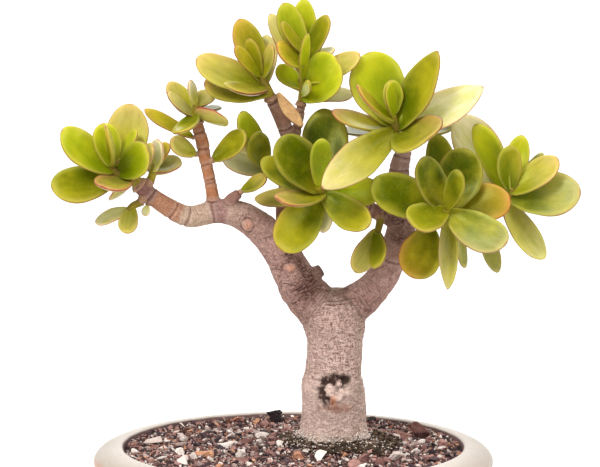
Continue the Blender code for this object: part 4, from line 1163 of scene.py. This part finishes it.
# Leafy shoots. The stem is a route like the wood's. A leaf is: how far along the stem it is rooted, then
# where its tip is seen (across, depth, and height face-on), its width, the way its upper side looks
# (right, away, up), its look, and where they apply its sunned and lit side and "pointed".
SHOOTS = {
    "far_left": {
        "stem": [
            (-88.6, -17.2, 218.6, 7.4), (-90.6, -17.9, 220.4, 7), (-96, -20, 222.5, 6),
            (-101.5, -22, 226, 5), (-104, -23, 231, 3.6),
        ],
        "leaves": [
            (0.7, -130.5, -32, 246, 23, (0.5, -0.8, 0.5), "lime"),
            (0.55, -136.5, -32, 213.5, 26, (0, -0.75, 0.65), "olive", "lower"),
            (0.85, -112, -24, 249.5, 17, (0.35, -0.9, 0.2), "bright"),
            (0.9, -108.5, -32, 254, 15, (-0.9, -0.35, 0.3), "gold", "left"),
            (0.55, -93, -4, 262.5, 24, (0, -1, 0.1), "straw", "upper"),
            (0.9, -98, -19, 251.5, 12, (-0.8, -0.6, 0.1), "lime"),
            (0.6, -84.5, -38, 241.5, 20, (-0.35, -0.85, 0.35), "lime", "right"),
            (0.32, -79.5, -24, 239.5, 20, (-0.85, -0.4, 0.3), "straw", "right"),
            (0.3, -106, -50, 213.5, 20, (0.1, -0.5, 0.85), "blush"),
            (0.25, -104.5, -4, 208, 13, (0, -0.4, 0.9), "straw", "lower"),
            (0.55, -112, 12, 236, 20, (0.1, -0.4, 0.9), "sage"),
        ],
    },
    "low_left": {
        "stem": [(-87.2, -18, 207.6, 4.6), (-91, -19.5, 206, 4.2), (-94, -20, 203.5, 3.2)],
        "leaves": [
            (0.6, -94.5, -27, 187.5, 12, (-0.2, -1, 0.1), "straw"),
            (0.9, -113, -17, 194, 10, (0, -0.75, 0.65), "cream"),
        ],
    },
    "left_side": {
        "stem": [(-81.3, -15.8, 219.9, 5), (-80, -15, 224, 4.6), (-79, -14, 229, 3.4)],
        "leaves": [
            (0.55, -76.5, -18, 241.5, 15, (-0.8, -0.6, 0.1), "cream", "upper"),
            (0.85, -71.5, -12, 240.5, 13, (-0.75, -0.6, 0.2), "gold"),
            (0.55, -66.5, -6, 235.5, 16, (-0.5, -0.8, 0.3), "pale"),
            (0.6, -79, 8, 240, 14, (0.1, -0.6, 0.8), "sage"),
        ],
    },
    "upright": {
        "stem": [(-55.1, -6, 253.7, 5.6), (-55.6, -6, 258, 5), (-55.5, -6, 264, 3.6)],
        "leaves": [
            (0.15, -71.5, -14, 268.5, 8, (0.85, -0.5, 0.2), "pale"),
            (0.1, -78, 6, 261.5, 13, (0.2, -0.8, 0.6), "straw", "left"),
            (0.8, -58.6, -12, 275.5, 8, (0.8, -0.6, 0), "cream", "upper"),
            (0.75, -46.5, 2, 270, 11, (-0.3, -0.9, 0.2), "pale"),
            (0.35, -64.5, -26, 242, 15, (-0.4, -0.6, 0.7), "olive", "lower"),
            (0.5, -37, -20, 252, 15, (-0.1, 0.72, 0.68), "blush", "upper"),
            (0.45, -44, 16, 262, 14, (-0.2, -0.3, 0.9), "dark"),
        ],
    },
    "top_left": {
        "stem": [(-13.2, 3.8, 266.6, 6), (-16, 2, 273, 5.4), (-18.5, 0, 279, 3.8)],
        "leaves": [
            (0.6, -31, 2, 311.3, 18, (0.3, -0.95, 0.1), "gold", "left"),
            (0.45, -55.5, -12, 286.5, 24, (0.15, -0.7, 0.7), "straw", "upper"),
            (0.9, -33, -18, 294, 9, (0.7, -0.7, 0.2), "gold", "left"),
            (0.95, -27, -13, 295.5, 9, (-0.4, -0.9, 0), "olive"),
            (0.15, -48, -14, 260, 20, (0.15, -0.85, 0.5), "blush", "upper"),
            (0.35, -38, -30, 271.5, 14, (0.15, -0.5, 0.85), "wine", "lower"),
            (0.85, -14.5, -14, 295, 9, (-0.7, -0.7, 0.1), "straw", "upper"),
            (0.55, -15.5, 14, 303, 13, (-0.2, -0.9, 0.2), "pale", "right"),
            (0.3, -36, 30, 283, 18, (0.1, -0.3, 0.95), "olive"),
        ],
    },
    "top_side": {
        "stem": [(-8.6, 13, 219.5, 5), (-13, 10, 223.5, 4.6), (-17, 7, 227.5, 3.6)],
        "leaves": [
            (0.7, -30, -2, 258, 15, (0.35, -0.85, 0.4), "bright"),
            (0.35, -41, 0, 232, 16, (0.2, -0.7, 0.7), "cream"),
            (0.8, -23, -8, 244.5, 17, (0.3, -0.9, 0.3), "deep"),
            (0.5, -30, 24, 240, 15, (0.1, -0.6, 0.8), "pale"),
        ],
    },
    "top_centre": {
        "stem": [(4.6, 11.9, 262.6, 4.6), (6, 9, 274, 4.4), (7.5, 7, 284, 4.2), (9, 5, 292, 3.2)],
        "leaves": [
            (0.75, -5.5, 2, 320.5, 16, (0.25, -0.95, 0.1), "lime"),
            (0.65, 6, 11, 324, 15, (0, -1, 0.1), "lime"),
            (0.8, 19.5, 3, 313.5, 14, (-0.7, -0.65, 0.1), "olive", "right"),
            (0.55, -17.5, 16, 313, 12, (0.3, -0.9, 0.2), "pale"),
            (0.9, -11.5, -2, 308, 8, (0.6, -0.7, 0.3), "olive"),
            (0.75, -9.5, -12, 297, 16, (0.15, -0.8, 0.6), "gold", "left"),
            (0.3, 0.8, -18, 297, 8, (0.4, -0.9, 0.1), "bright"),
            (0.08, 25.5, -14, 286.5, 27, (-0.3, -0.92, 0.25), "bright", "right"),
            (0.85, 24, 8, 295, 10, (-0.4, -0.5, 0.75), "cream"),
            (0.4, 36, -2, 293, 17, (-0.35, -0.65, 0.65), "straw", "upper"),
            (0.25, -8.5, 18, 286, 13, (0.3, -0.8, 0.5), "bright"),
            (0.14, 35, 12, 269, 12, (-0.2, -0.7, 0.7), "cream"),
            (0.12, 9, -14, 274, 7, (-0.3, -0.9, 0.2), "bright"),
            (0.35, 14, 38, 292, 18, (0, -0.4, 0.9), "olive"),
        ],
    },
    "top_right": {
        "stem": [
            (61.9, -3.1, 241.5, 6.8), (61.3, -3.7, 244.8, 6.4), (59, -5.5, 248.5, 5.8),
            (57.5, -7, 252.5, 5), (57, -8, 257, 3.8),
        ],
        "leaves": [
            (0.55, 43, 6, 292.5, 32, (0.1, -1, 0.1), "lime", "left"),
            (0.45, 78, -12, 295, 25, (-0.7, -0.72, 0.1), "olive", "right", "pointed"),
            (0.4, 108.5, -8, 272, 24, (-0.05, -0.8, 0.6), "cream", "pointed"),
            (0.45, 16, -56, 213, 22, (0.4, -0.8, 0.45), "pale", "left", "pointed"),
            (0.35, 76, -44, 241, 33, (-0.5, -0.45, 0.75), "wine", "upper"),
            (0.9, 55, -16, 275, 11, (0.75, -0.65, 0), "bright"),
            (0.95, 62, -8, 275.5, 12, (0.1, -0.95, 0), "lime"),
            (0.75, 36, -28, 271, 16, (0.6, -0.3, 0.75), "gold", "left"),
            (0.4, 22, -2, 258.5, 18, (0.1, -0.45, 0.9), "blush", "upper"),
            (0.3, 88, 27, 243, 19, (-0.1, -0.6, 0.8), "dark"),
            (0.5, 62, 40, 262, 24, (0, -0.5, 0.9), "dark"),
            (0.4, 30, 28, 250, 20, (0.2, -0.5, 0.85), "dark"),
        ],
    },
    "centre": {
        "stem": [
            (23.5, -6.2, 209.2, 6.4), (20.6, -7.3, 210.4, 6.2), (16, -13, 213, 5), (14, -17, 217, 3.6),
        ],
        "leaves": [
            (0.7, -8.5, -32, 241, 26, (0.35, -0.9, 0.3), "deep"),
            (0.55, -18.5, -12, 230, 20, (0.25, -0.75, 0.6), "deep", "left"),
            (0.45, -8.5, -46, 206.5, 19, (0.05, -0.4, 0.9), "blush", "left"),
            (0.45, 17.5, 12, 260.5, 27, (-0.05, -0.98, 0.15), "dark"),
            (0.95, 16, -30, 241.5, 13, (0.1, -1, 0.15), "lime", "lower"),
            (0.6, 51.5, -18, 212, 18, (-0.2, -0.9, 0.4), "lime"),
            (0.6, 44, -34, 189, 19, (-0.2, -0.85, 0.5), "olive", "right"),
            (0.35, 17, -18, 188, 11, (-0.6, -0.8, 0.1), "cream"),
            (0.6, -7.5, -40, 178.5, 25, (0.15, -1, 0.15), "olive", "left"),
            (0.3, -23, 2, 198.5, 14, (0.1, -0.75, 0.65), "straw"),
            (0.45, 6, 26, 232, 20, (0, -0.6, 0.8), "deep"),
        ],
    },
    "hanging": {
        "stem": [(50, -3.4, 195.5, 4.6), (49, -7, 192, 4.2), (48, -10, 188, 3.2)],
        "leaves": [
            (0.6, 35.5, -12, 165, 16, (0.45, -0.8, 0.2), "straw"),
            (0.85, 41.5, -18, 166, 15, (-0.75, -0.6, 0.1), "olive"),
        ],
    },
    "right": {
        "stem": [
            (88.1, -16.4, 202.2, 6), (88.6, -18.9, 202.8, 5.8), (88.2, -22.5, 202.6, 5.4),
            (87, -27, 203, 4.8), (86.5, -32, 205.8, 3.6),
        ],
        "leaves": [
            (0.6, 44, -28, 216.5, 26, (0.3, -0.9, 0.35), "deep"),
            (0.65, 72, -38, 230.5, 20, (0.4, -0.9, 0.2), "dark", "left"),
            (0.95, 93, -46, 223, 13, (-0.5, -0.85, 0.1), "deep", "right"),
            (0.45, 98, -18, 236.5, 27, (-0.1, -1, 0.15), "dark", "upper"),
            (0.45, 122, -30, 209.5, 26, (-0.3, -0.75, 0.55), "sun", "right"),
            (0.7, 119, -54, 181.5, 23, (-0.1, -0.85, 0.55), "sage", "lower"),
            (0.8, 64.5, -52, 194.5, 20, (0.1, -0.8, 0.6), "olive", "lower"),
            (0.4, 87.5, -32, 155.5, 16, (-0.75, -0.65, 0), "pale", "left", "pointed"),
            (0.2, 80, 10, 238, 18, (0.1, -0.8, 0.5), "deep"),
        ],
    },
    "far_right": {
        "stem": [
            (117.5, -5.2, 207.4, 6.2), (120.5, -6, 209, 5.8), (123.5, -7, 211, 4.8),
            (125.5, -7.5, 215, 3.6),
        ],
        "leaves": [
            (0.5, 95, 12, 256, 26, (-0.35, -0.85, 0.4), "cream"),
            (0.55, 107.5, 2, 252, 18, (-0.65, -0.75, 0.1), "lime", "left"),
            (0.8, 119, -10, 239.5, 17, (0.4, -0.9, 0.15), "olive", "right"),
            (0.75, 127.5, 6, 245.5, 14, (0, -1, 0.2), "lime"),
            (0.45, 164, -16, 211, 28, (-0.05, -0.92, 0.45), "sage", "right"),
            (0.7, 149.5, -10, 233.5, 19, (-0.45, -0.75, 0.5), "straw", "right"),
            (0.85, 144, 9, 238, 13, (-0.6, -0.4, 0.7), "deep"),
            (0.25, 140.5, -16, 170.5, 20, (0.5, -0.75, 0.4), "pale", "upper"),
            (0.45, 132, 34, 226, 22, (-0.1, -0.4, 0.9), "olive"),
        ],
    },
}
# Leaves that grow straight from the wood: root (across, depth, height), then the same
LONE_LEAVES = {
    "upright_leaf_left": ((-56, -7.6, 234), -70, -14, 241, 13, (0.1, -0.8, 0.6), "straw"),
    "upright_leaf_right": ((-45.6, -8.2, 231), -28.5, -12, 248, 16, (-0.5, -0.75, 0.45), "olive"),
    "upright_leaf_back": ((-57.4, -3.6, 243.5), -84, -6, 260.5, 9, (0.35, -0.85, 0.4), "gold"),
    "stub_leaf": ((-29, -9.6, 213.6), -15, -15, 220.5, 12, (-0.3, -0.6, 0.75), "wine", "upper"),
    "tiny_leaf": ((-83.1, -15.7, 206.1), -84.5, -18, 197.5, 5, (0, -1, 0.1), "cream"),
    "right_low_leaf": ((79, -4.6, 192.4), 68, -18, 162, 25, (0.15, -1, 0.1), "sun", "left"),
    "right_under_leaf": ((106.5, -6, 195), 117.5, -10, 165, 10, (0.1, -1, 0.2), "sage"),
    "right_back_leaf": ((96, -4, 191), 98.5, -8, 167.5, 9, (0.7, -0.7, 0), "sage"),
}
DRY_LEAF = ((-9.0, 0.2, 268.5), 5.0, -10, 248.5, 8, (0.4, -0.9, 0.1), "olive")
# turns that a leaf may take to come clear, in degrees, and how much shorter it may be grown
SWINGS = (0, 7, -7, 14, -14, 22, -22, 30, -30)
LIFTS = (0, 7, -7, 14, -14, 22, -22, 32, -32)
SHRINKS = (1.0, 0.9, 0.78, 0.64)


def leaf_half_width(t, shape):
    """Share of the half width: a narrow foot, broadest about the middle, then a round or pointed end."""
    widest, bulge, power = LEAF_SHAPES[shape]
    if t < widest:
        return LEAF_FOOT + (1 - LEAF_FOOT) * math.sin(t / widest * math.pi / 2) ** 0.95
    out = (t - widest) / (1 - widest)
    return (1 - out ** bulge) ** power


def squared(root, tip, facing):
    """The way along a leaf, and the way its upper side looks, made square to it."""
    along = (tip - root).normalized()
    face = Vector(facing)
    return along, (face - along * face.dot(along)).normalized()


def midrib(root, tip, face, t):
    """The arched midrib at a share of its length: its place, and the ways ahead, aside and up."""
    bend = (root + tip) / 2 - face * LEAF_BOW * (tip - root).length
    centre = root * (1 - t) ** 2 + bend * 2 * t * (1 - t) + tip * t * t
    ahead = ((bend - root) * (1 - t) + (tip - bend) * t).normalized()
    side = face.cross(ahead).normalized()
    return centre, ahead, side, ahead.cross(side)


def half_thick(t, width):
    return LEAF_THICK / 2 * (1 - 0.35 * t) * min(1.0, 0.55 + width / 30)


def cupped(x, t, width):
    """How far the leaf's sides stand up from its middle."""
    return LEAF_CUP * width * (x * x - 0.4) * math.sin(math.pi * min(t + 0.1, 1.0))


def leaf_skin(rings, sides):
    """Faces of a leaf: rings of points from the root on, a flat root, and the last point as its tip."""
    last = (rings - 1) * sides
    fan = [(last + k, last + (k + 1) % sides, last + sides) for k in range(sides)]
    return walls(rings, sides) + [tuple(range(sides))[::-1]] + fan


def leaf(root, tip, width, facing, shape="round", swell=0.0, first=0.0):
    """A fleshy leaf: six-sided sections along an arched midrib, from its root to a blunt tip."""
    along, face = squared(root, tip, facing)
    verts = []
    stations = [t for t in LEAF_STATIONS if t >= first]
    for t in stations:
        centre, _, side, up = midrib(root, tip, face, t)
        half = width / 2 * leaf_half_width(t, shape) + swell
        thick = half_thick(t, width) + swell
        for x, z in ((-1, 0), (-0.55, 1), (0.55, 1), (1, 0), (0.55, -1), (-0.55, -1)):
            verts.append(centre + side * half * x + up * (thick * z + cupped(x, t, width)))
    verts.append(tip + along * swell)
    return verts, leaf_skin(len(stations), 6)


def seen(across, depth, height):
    """A place whose height was read face-on, from a little above: what is further back looks higher."""
    return Vector((across, depth, height - VIEW_SLOPE * depth))


def along_route(points, share):
    """The point at a share of a route's length."""
    centres = [Vector(p[:3]) for p in points]
    lengths = [(b - a).length for a, b in zip(centres, centres[1:])]
    left = share * sum(lengths)
    for a, b, length in zip(centres, centres[1:], lengths):
        if left <= length:
            return a.lerp(b, left / length)
        left -= length
    return centres[-1]


def touches(shape, placed):
    """Whether the shape crosses one of the placed ones, which carry their own boxes."""
    tree, low, high = shape
    for other, other_low, other_high in placed:
        apart = any(low[i] > other_high[i] or high[i] < other_low[i] for i in range(3))
        if not apart and tree.overlap(other):
            return True
    return False


def solid_for_test(verts, faces):
    tree = BVHTree.FromPolygons(verts, faces)
    low = [min(v[i] for v in verts) for i in range(3)]
    high = [max(v[i] for v in verts) for i in range(3)]
    return tree, low, high


def settle(root, tip, width, facing, shape, far, near):
    """Turns a leaf about its root, as little as it must, until it is clear of its neighbours.

    far holds what it may not touch at all, near the leaves of its own shoot, where only the outer
    part counts. A leaf with no free way is grown shorter. Returns the leaf, or None.
    """
    turns = sorted(((abs(s) + abs(u), s, u) for s in SWINGS for u in LIFTS))
    along, face = squared(root, tip, facing)
    side = face.cross(along)
    for shrink in SHRINKS:
        for _, swing, lift in turns:
            turn = Matrix.Rotation(math.radians(swing), 3, face)
            turn = turn @ Matrix.Rotation(math.radians(lift), 3, side)
            found = (root, root + turn @ (tip - root) * shrink, width * shrink, turn @ face, shape)
            if touches(solid_for_test(*leaf(*found, CLEARANCE)), far):
                continue
            if near and touches(solid_for_test(*leaf(*found, *OUTER_PART)), near):
                continue
            return found
    return None


def grow_leaves():
    """Settles every leaf; returns, for each shoot, its leaves as (place, look, sunned and lit side)."""
    wood = [solid_for_test(*tube(smooth_route(route, 1), 14)) for route in (TRUNK, *LIMBS.values())]
    stems = {name: solid_for_test(*tube(shoot["stem"], 8)) for name, shoot in SHOOTS.items()}
    plan = {name: (None, [row]) for name, row in LONE_LEAVES.items()}
    plan.update({name: (shoot["stem"], shoot["leaves"]) for name, shoot in SHOOTS.items()})
    plan["dry_leaf"] = (None, [DRY_LEAF])
    grown = {}
    settled = []
    for name, (stem, rows) in plan.items():
        far = wood + [stems[other] for other in stems if other != name] + settled
        near = []
        kept = []
        for place, across, depth, height, width, facing, look, *more in rows:
            tip = seen(across, depth, height)
            root = Vector(place) if stem is None else along_route(stem, place)
            shape = "pointed" if "pointed" in more else "round"
            found = settle(root, tip, width, facing, shape, far, near)
            if found:
                kept.append((found, look, next((word for word in more if word in SUN_AND_LIT_SIDES), None)))
                near.append(solid_for_test(*leaf(*found, *OUTER_PART)))
        settled += [solid_for_test(*leaf(*row[0])) for row in kept]
        grown[name] = kept
    return grown


def fine_leaf(place, draw, crumple=0.0):
    """The leaf with rounded sections: points, faces and a row of notes for each point.

    The notes are how near the edge it is, how far along, 1 if beneath, and its place on the leaf.
    """
    root, tip, width, facing, shape = place
    _, face = squared(root, tip, facing)
    length = (tip - root).length
    sway = draw.uniform(-0.05, 0.05) * width
    twist = draw.uniform(-0.12, 0.12)
    seed = Vector((draw.uniform(0, 50), draw.uniform(0, 50), 0.0))
    verts, notes = [], []
    for i in range(FINE_STATIONS):
        t = 1 - (1 - i / FINE_STATIONS) ** 1.75
        centre, ahead, side, up = midrib(root, tip, face, t)
        turn = Matrix.Rotation(twist * t + crumple * 1.5 * math.sin(5 * t), 3, ahead)
        side, up = turn @ side, turn @ up
        centre = centre + side * sway * math.sin(math.pi * t)
        half = width / 2 * leaf_half_width(t, shape) * min(1.0, 0.62 + 5.0 * t)
        thick = half_thick(t, width) * math.sqrt(max(0.0, 1 - max(0.0, (t - 0.86) / 0.14) ** 2))
        for k in range(FINE_SIDES):
            angle = 2 * math.pi * k / FINE_SIDES
            x = math.copysign(abs(math.cos(angle)) ** 0.86, math.cos(angle))
            z = math.copysign(abs(math.sin(angle)) ** 0.9, math.sin(angle))
            wave = noise(Vector((x * 1.3, t * 2.4, 0.0)) + seed)
            ripple = 0.035 * width * wave * (0.4 + abs(x)) * math.sin(math.pi * min(t + 0.05, 1))
            groove = -0.5 * thick * math.exp(-(x / 0.2) ** 2) * (z > 0) * (1 - 0.7 * t)
            dish = 0.05 * width * (abs(x) - 0.6) * math.sin(math.pi * min(t + 0.1, 1.0))
            crease = noise(Vector((x * 3, t * 7, 4.0)) + seed)
            fold = crumple * width * (0.5 * abs(x) * x * x + 0.28 * crease)
            uneven = 1 + 0.05 * noise(Vector((t * 4, k > 11, 2.0)) + seed)
            height = thick * z * 1.06 + cupped(x, t, width) + dish + ripple + groove + fold
            verts.append(centre + side * half * x * uneven + up * height)
            edge = max(abs(x), min(1.0, max(0.0, (t - 0.45) / 0.55)) ** 1.5)
            notes.append((edge, t, 1.0 if z < 0 else 0.0, x * half, t * length, seed.x))
    verts.append(tip)
    notes.append((1.0, 1.0, 0.5, 0.0, length, seed.x))
    return verts, leaf_skin(FINE_STATIONS, FINE_SIDES), notes


def leaf_colours(verts, place, look, sun_and_lit_side, notes, draw):
    """For each point: the body's colour, the edge's colour, (edge, blush, line), and its place."""
    foot, tip, beneath, edge, blush, line = LOOKS[look]
    shade = draw.uniform(0.93, 1.08)
    foot, tip, beneath = (np.array(paint(*c)) * shade for c in (foot, tip, beneath))
    notes = np.array(notes)
    along = notes[:, 1:2]
    # how far a point lies on the leaf's sunned and lit side: there it turns to the tip's paler colour, as
    # painted light, and its blush and edge line grow, as sun colouring
    sun = np.ones(len(notes))
    if sun_and_lit_side:
        away = (np.array(verts) - np.array((place[0] + place[1]) / 2)) @ np.array(SUN_AND_LIT_SIDES[sun_and_lit_side])
        sun = np.clip(0.35 + 1.1 * away / np.abs(away).max(), 0, 1.5)
        along = np.clip(along + 0.45 * (sun[:, None] - 0.7), 0, 1.15)
    top = foot * (1 - along) + tip * along
    low = foot * (1 - along) * 0.5 + beneath * (0.5 + 0.5 * along)
    under = notes[:, 2:3]
    body = unit(top * (1 - under) + low * under)
    body[:, 3] = 1.0
    blush = blush * draw.uniform(0.7, 1.1) * sun
    margin = np.stack((notes[:, 0], blush, line * unit(0.3 + sun)), axis=1)
    return body, np.tile(paint(*edge), (len(notes), 1)), margin, notes[:, 3:]


def leaf_look():
    """Glossy flesh: deeper streaks, clouds and pale dots, a paler margin that is partly painted glow and
    highlight, then the blush and the rim.
    """
    made, tree, shader = new_material("leaf_flesh", 0.3)
    body = read(tree, "leaf_body", "Color")
    rim = read(tree, "leaf_rim", "Color")
    margin = tree.nodes.new("ShaderNodeSeparateXYZ")
    feed(tree, margin.inputs[0], read(tree, "leaf_margin", "Vector"))
    edge, blush, line = margin.outputs
    place = stretched(tree, read(tree, "leaf_place", "Vector"), (1.0, 0.22, 1.0))
    streaks = placed(tree, mottle, (0.26, 1.1, 0.35), place)["Cloud"]
    cloud = placed(tree, mottle, (50.0, 240.0, 0.15))["Cloud"]
    dots = placed(tree, specks, (1000.0, 0.22, 0.4))["Mask"]
    deeper = mixed(tree, 1.0, body, (190, 204, 90), "MULTIPLY")
    colour = mixed(tree, times(tree, streaks, 0.75), body, deeper)
    colour = mixed(tree, ramp(tree, cloud, 0.2, 1.0), colour, mixed(tree, 0.3, colour, (214, 196, 40)))
    colour = mixed(tree, times(tree, dots, 0.14), colour, (232, 226, 150))
    waver = plus(tree, times(tree, streaks, 0.14), edge)
    # a paler band along the margin: the edge's own yellower colour, with a painted glow and highlight of
    # light on the thin edge
    pale = times(tree, ramp(tree, waver, 0.74, 1.06), 0.42)
    colour = mixed(tree, pale, colour, mixed(tree, 0.5, body, (232, 222, 104)))
    colour = mixed(tree, times(tree, ramp(tree, waver, 0.5, 1.12), blush), colour, rim)
    thin = times(tree, ramp(tree, edge, 0.93, 0.985), line)
    colour = mixed(tree, thin, colour, mixed(tree, 1.0, rim, (214, 186, 200), "MULTIPLY"))
    feed(tree, shader.inputs["Base Color"], colour)
    shader.inputs["IOR"].default_value = 1.38
    shader.inputs["Specular IOR Level"].default_value = 0.36
    shader.inputs["Specular Tint"].default_value = (0.9, 0.95, 0.3, 1.0)
    shader.inputs["Subsurface Weight"].default_value = 0.12
    shader.inputs["Subsurface Radius"].default_value = (0.6, 0.6, 0.05)
    shader.inputs["Subsurface Scale"].default_value = 0.002
    bumped(tree, shader, streaks, 0.16, 0.0005)
    return made


def build_foliage():
    """Makes every leafy piece; returns the settled place of the dry leaf, which has its own section."""
    skin = leaf_look()
    grown = grow_leaves()
    draw = random.Random(LEAF_SEED)
    for name, leaves in grown.items():
        if name == "dry_leaf":
            continue
        verts, faces = [], []
        parts = []
        if name in SHOOTS:
            verts, faces = tube(smooth_route(SHOOTS[name]["stem"], 4), 16)
            colour = np.tile(paint(*LOOKS["stem"][0]), (len(verts), 1))
            parts.append((colour, colour, np.zeros((len(verts), 3)), np.array(verts)))
        for place, look, sun_and_lit_side in leaves:
            own, own_faces, notes = fine_leaf(place, draw)
            join(verts, faces, own, own_faces)
            parts.append(leaf_colours(own, place, look, sun_and_lit_side, notes, draw))
        node = "shoot_" + name if name in SHOOTS else name
        made = add_piece(node + "_fine", verts, faces, skin)
        for (field, kind), values in zip(LEAF_FIELDS.items(), zip(*parts)):
            mark(made, field, np.concatenate(values), kind)
        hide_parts(node)
    return grown["dry_leaf"][0][0]


dry_place = build_foliage()

# The leaf feet
# Where a shoot or a single leaf leaves the wood there is a short nub of young bark, ringed at its end.


def build_feet():
    """A nub from the nearest wood to the foot of each shoot and each single leaf."""
    feet = [(Vector(shoot["stem"][0][:3]), shoot["stem"][0][3]) for shoot in SHOOTS.values()]
    feet += [(Vector(row[0]), max(2.4, 0.2 * row[4])) for row in LONE_LEAVES.values()]
    middles = [point for route in LIMBS.values() for point in smooth_route(route, 6)]
    verts, faces = [], []
    for foot, thick in feet:
        middle = min(middles, key=lambda p: (Vector(p[:3]) - foot).length - p[3] / 2)
        start = Vector(middle[:3])
        way = (foot - start).normalized()
        skin = start + way * min(middle[3] / 2, (foot - start).length - 0.4)
        rows = [(skin - way * 1.6, 1.5), (skin, 1.3), (skin.lerp(foot, 0.5), 1.06), (foot, 1.14),
                (foot + way * 0.4, 1.1), (foot + way * 0.7, 0.8)]
        join(verts, faces, *tube([(*place, thick * share) for place, share in rows], 16))
    bark = two_tone("young_bark", 0.8, (300.0, 1500.0, 0.5), (120, 84, 62), (184, 144, 112), 0.6, 0.0005)
    made = add_piece("leaf_feet", verts, faces, bark)


build_feet()

# The dry leaf
# One old leaf has dried on its stalk and hangs by the top shoot: tan, thin and crumpled.
DRY_SEED = 3
CRUMPLE = 0.18


def dry_look():
    made, tree, shader = new_material("dry_leaf_skin", 0.8)
    cloud, grain = placed(tree, mottle, (260.0, 1300.0, 0.5))
    body = mixed(tree, cloud, (148, 104, 62), (206, 168, 112))
    rim = ramp(tree, read(tree, "leaf_edge"), 0.8, 1.0)
    feed(tree, shader.inputs["Base Color"], mixed(tree, rim, body, (112, 72, 44)))
    bumped(tree, shader, grain, 0.6, 0.0006)
    return made


def build_dry_leaf():
    verts, faces, notes = fine_leaf(dry_place, random.Random(DRY_SEED), CRUMPLE)
    made = add_piece("dry_leaf_crumpled", verts, faces, dry_look())
    mark(made, "leaf_edge", [note[0] for note in notes])
    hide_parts("dry_leaf")


build_dry_leaf()

# The studio
# A pale sweep of paper under and behind the pot, a large soft light from the upper left, weaker ones from
# above and from the right, and two behind, over the paper. Lengths here are metres.
SWEEP_FRONT = -6.0
SWEEP_BACK = 5.0
SWEEP_CURVE = 1.6
SWEEP_STEPS = 24
SWEEP_TOP = 4.0
SWEEP_HALF = 8.0
AIR_LIGHT = 0.62
PLANT_MIDDLE = (0, 0, 0.17)
# place, what it is aimed at, size and power in watts
LIGHTS = {
    "key_light": ((-0.9, -1.3, 1.5), PLANT_MIDDLE, 0.7, 27.0),
    "top_light": ((0.1, -0.2, 1.5), PLANT_MIDDLE, 1.0, 11.0),
    "side_light": ((1.2, -0.5, 0.9), PLANT_MIDDLE, 0.7, 7.0),
    "back_light": ((0, 1.9, 1.7), (0, 2.3, 0.0), 1.6, 18.0),
    "far_light": ((0, 4.6, 2.6), (0, 5.2, 0.0), 2.4, 75.0),
}


def build_studio():
    rows = [(SWEEP_FRONT, 0.0), (SWEEP_BACK, 0.0)]
    for i in range(1, SWEEP_STEPS + 1):
        angle = math.pi / 2 * i / SWEEP_STEPS
        rows.append((SWEEP_BACK + SWEEP_CURVE * math.sin(angle), SWEEP_CURVE * (1 - math.cos(angle))))
    rows.append((SWEEP_BACK + SWEEP_CURVE, SWEEP_TOP))
    verts = [(x, y, z) for y, z in rows for x in (-SWEEP_HALF, SWEEP_HALF)]
    faces = [(2 * i, 2 * i + 1, 2 * i + 3, 2 * i + 2) for i in range(len(rows) - 1)]
    mesh = bpy.data.meshes.new("studio_sweep")
    mesh.from_pydata(verts, [], faces)
    mesh.shade_smooth()
    mesh.materials.append(two_tone("studio_paper", 0.9, (3.0, 200.0, 0.2), (250, 250, 249), (252, 252, 251)))
    floor = set_out("studio_sweep", mesh)
    world = bpy.data.worlds.new("studio_air")
    world.use_nodes = True
    world.node_tree.nodes["Background"].inputs[0].default_value = (1.0, 1.0, 1.0, 1.0)
    world.node_tree.nodes["Background"].inputs[1].default_value = AIR_LIGHT
    bpy.context.scene.world = world
    for name, (place, aim, size, power) in LIGHTS.items():
        lamp = bpy.data.lights.new(name, "AREA")
        lamp.size = size
        lamp.energy = power
        holder = set_out(name, lamp)
        holder.location = place
        holder.rotation_euler = (Vector(aim) - Vector(place)).to_track_quat("-Z", "Y").to_euler()
    bpy.context.scene.view_settings.view_transform = "Standard"


build_studio()

# The camera
# It looks at the plant from a little above, far off, the way the photo was taken.
VIEW_PITCH = 7.2
VIEW_PLACE = (3.86, -1686.6, 400.7)
VIEW_LENS = 177.06


def build_camera():
    camera = set_out("camera", bpy.data.cameras.new("camera"))
    camera.data.sensor_width = 36.0
    camera.data.lens = VIEW_LENS
    camera.location = Vector(VIEW_PLACE) * MM + Vector((POT_AXIS.x, POT_AXIS.y, 0.0))
    camera.rotation_euler = (math.radians(90 - VIEW_PITCH), 0.0, 0.0)
    bpy.context.scene.camera = camera


build_camera()
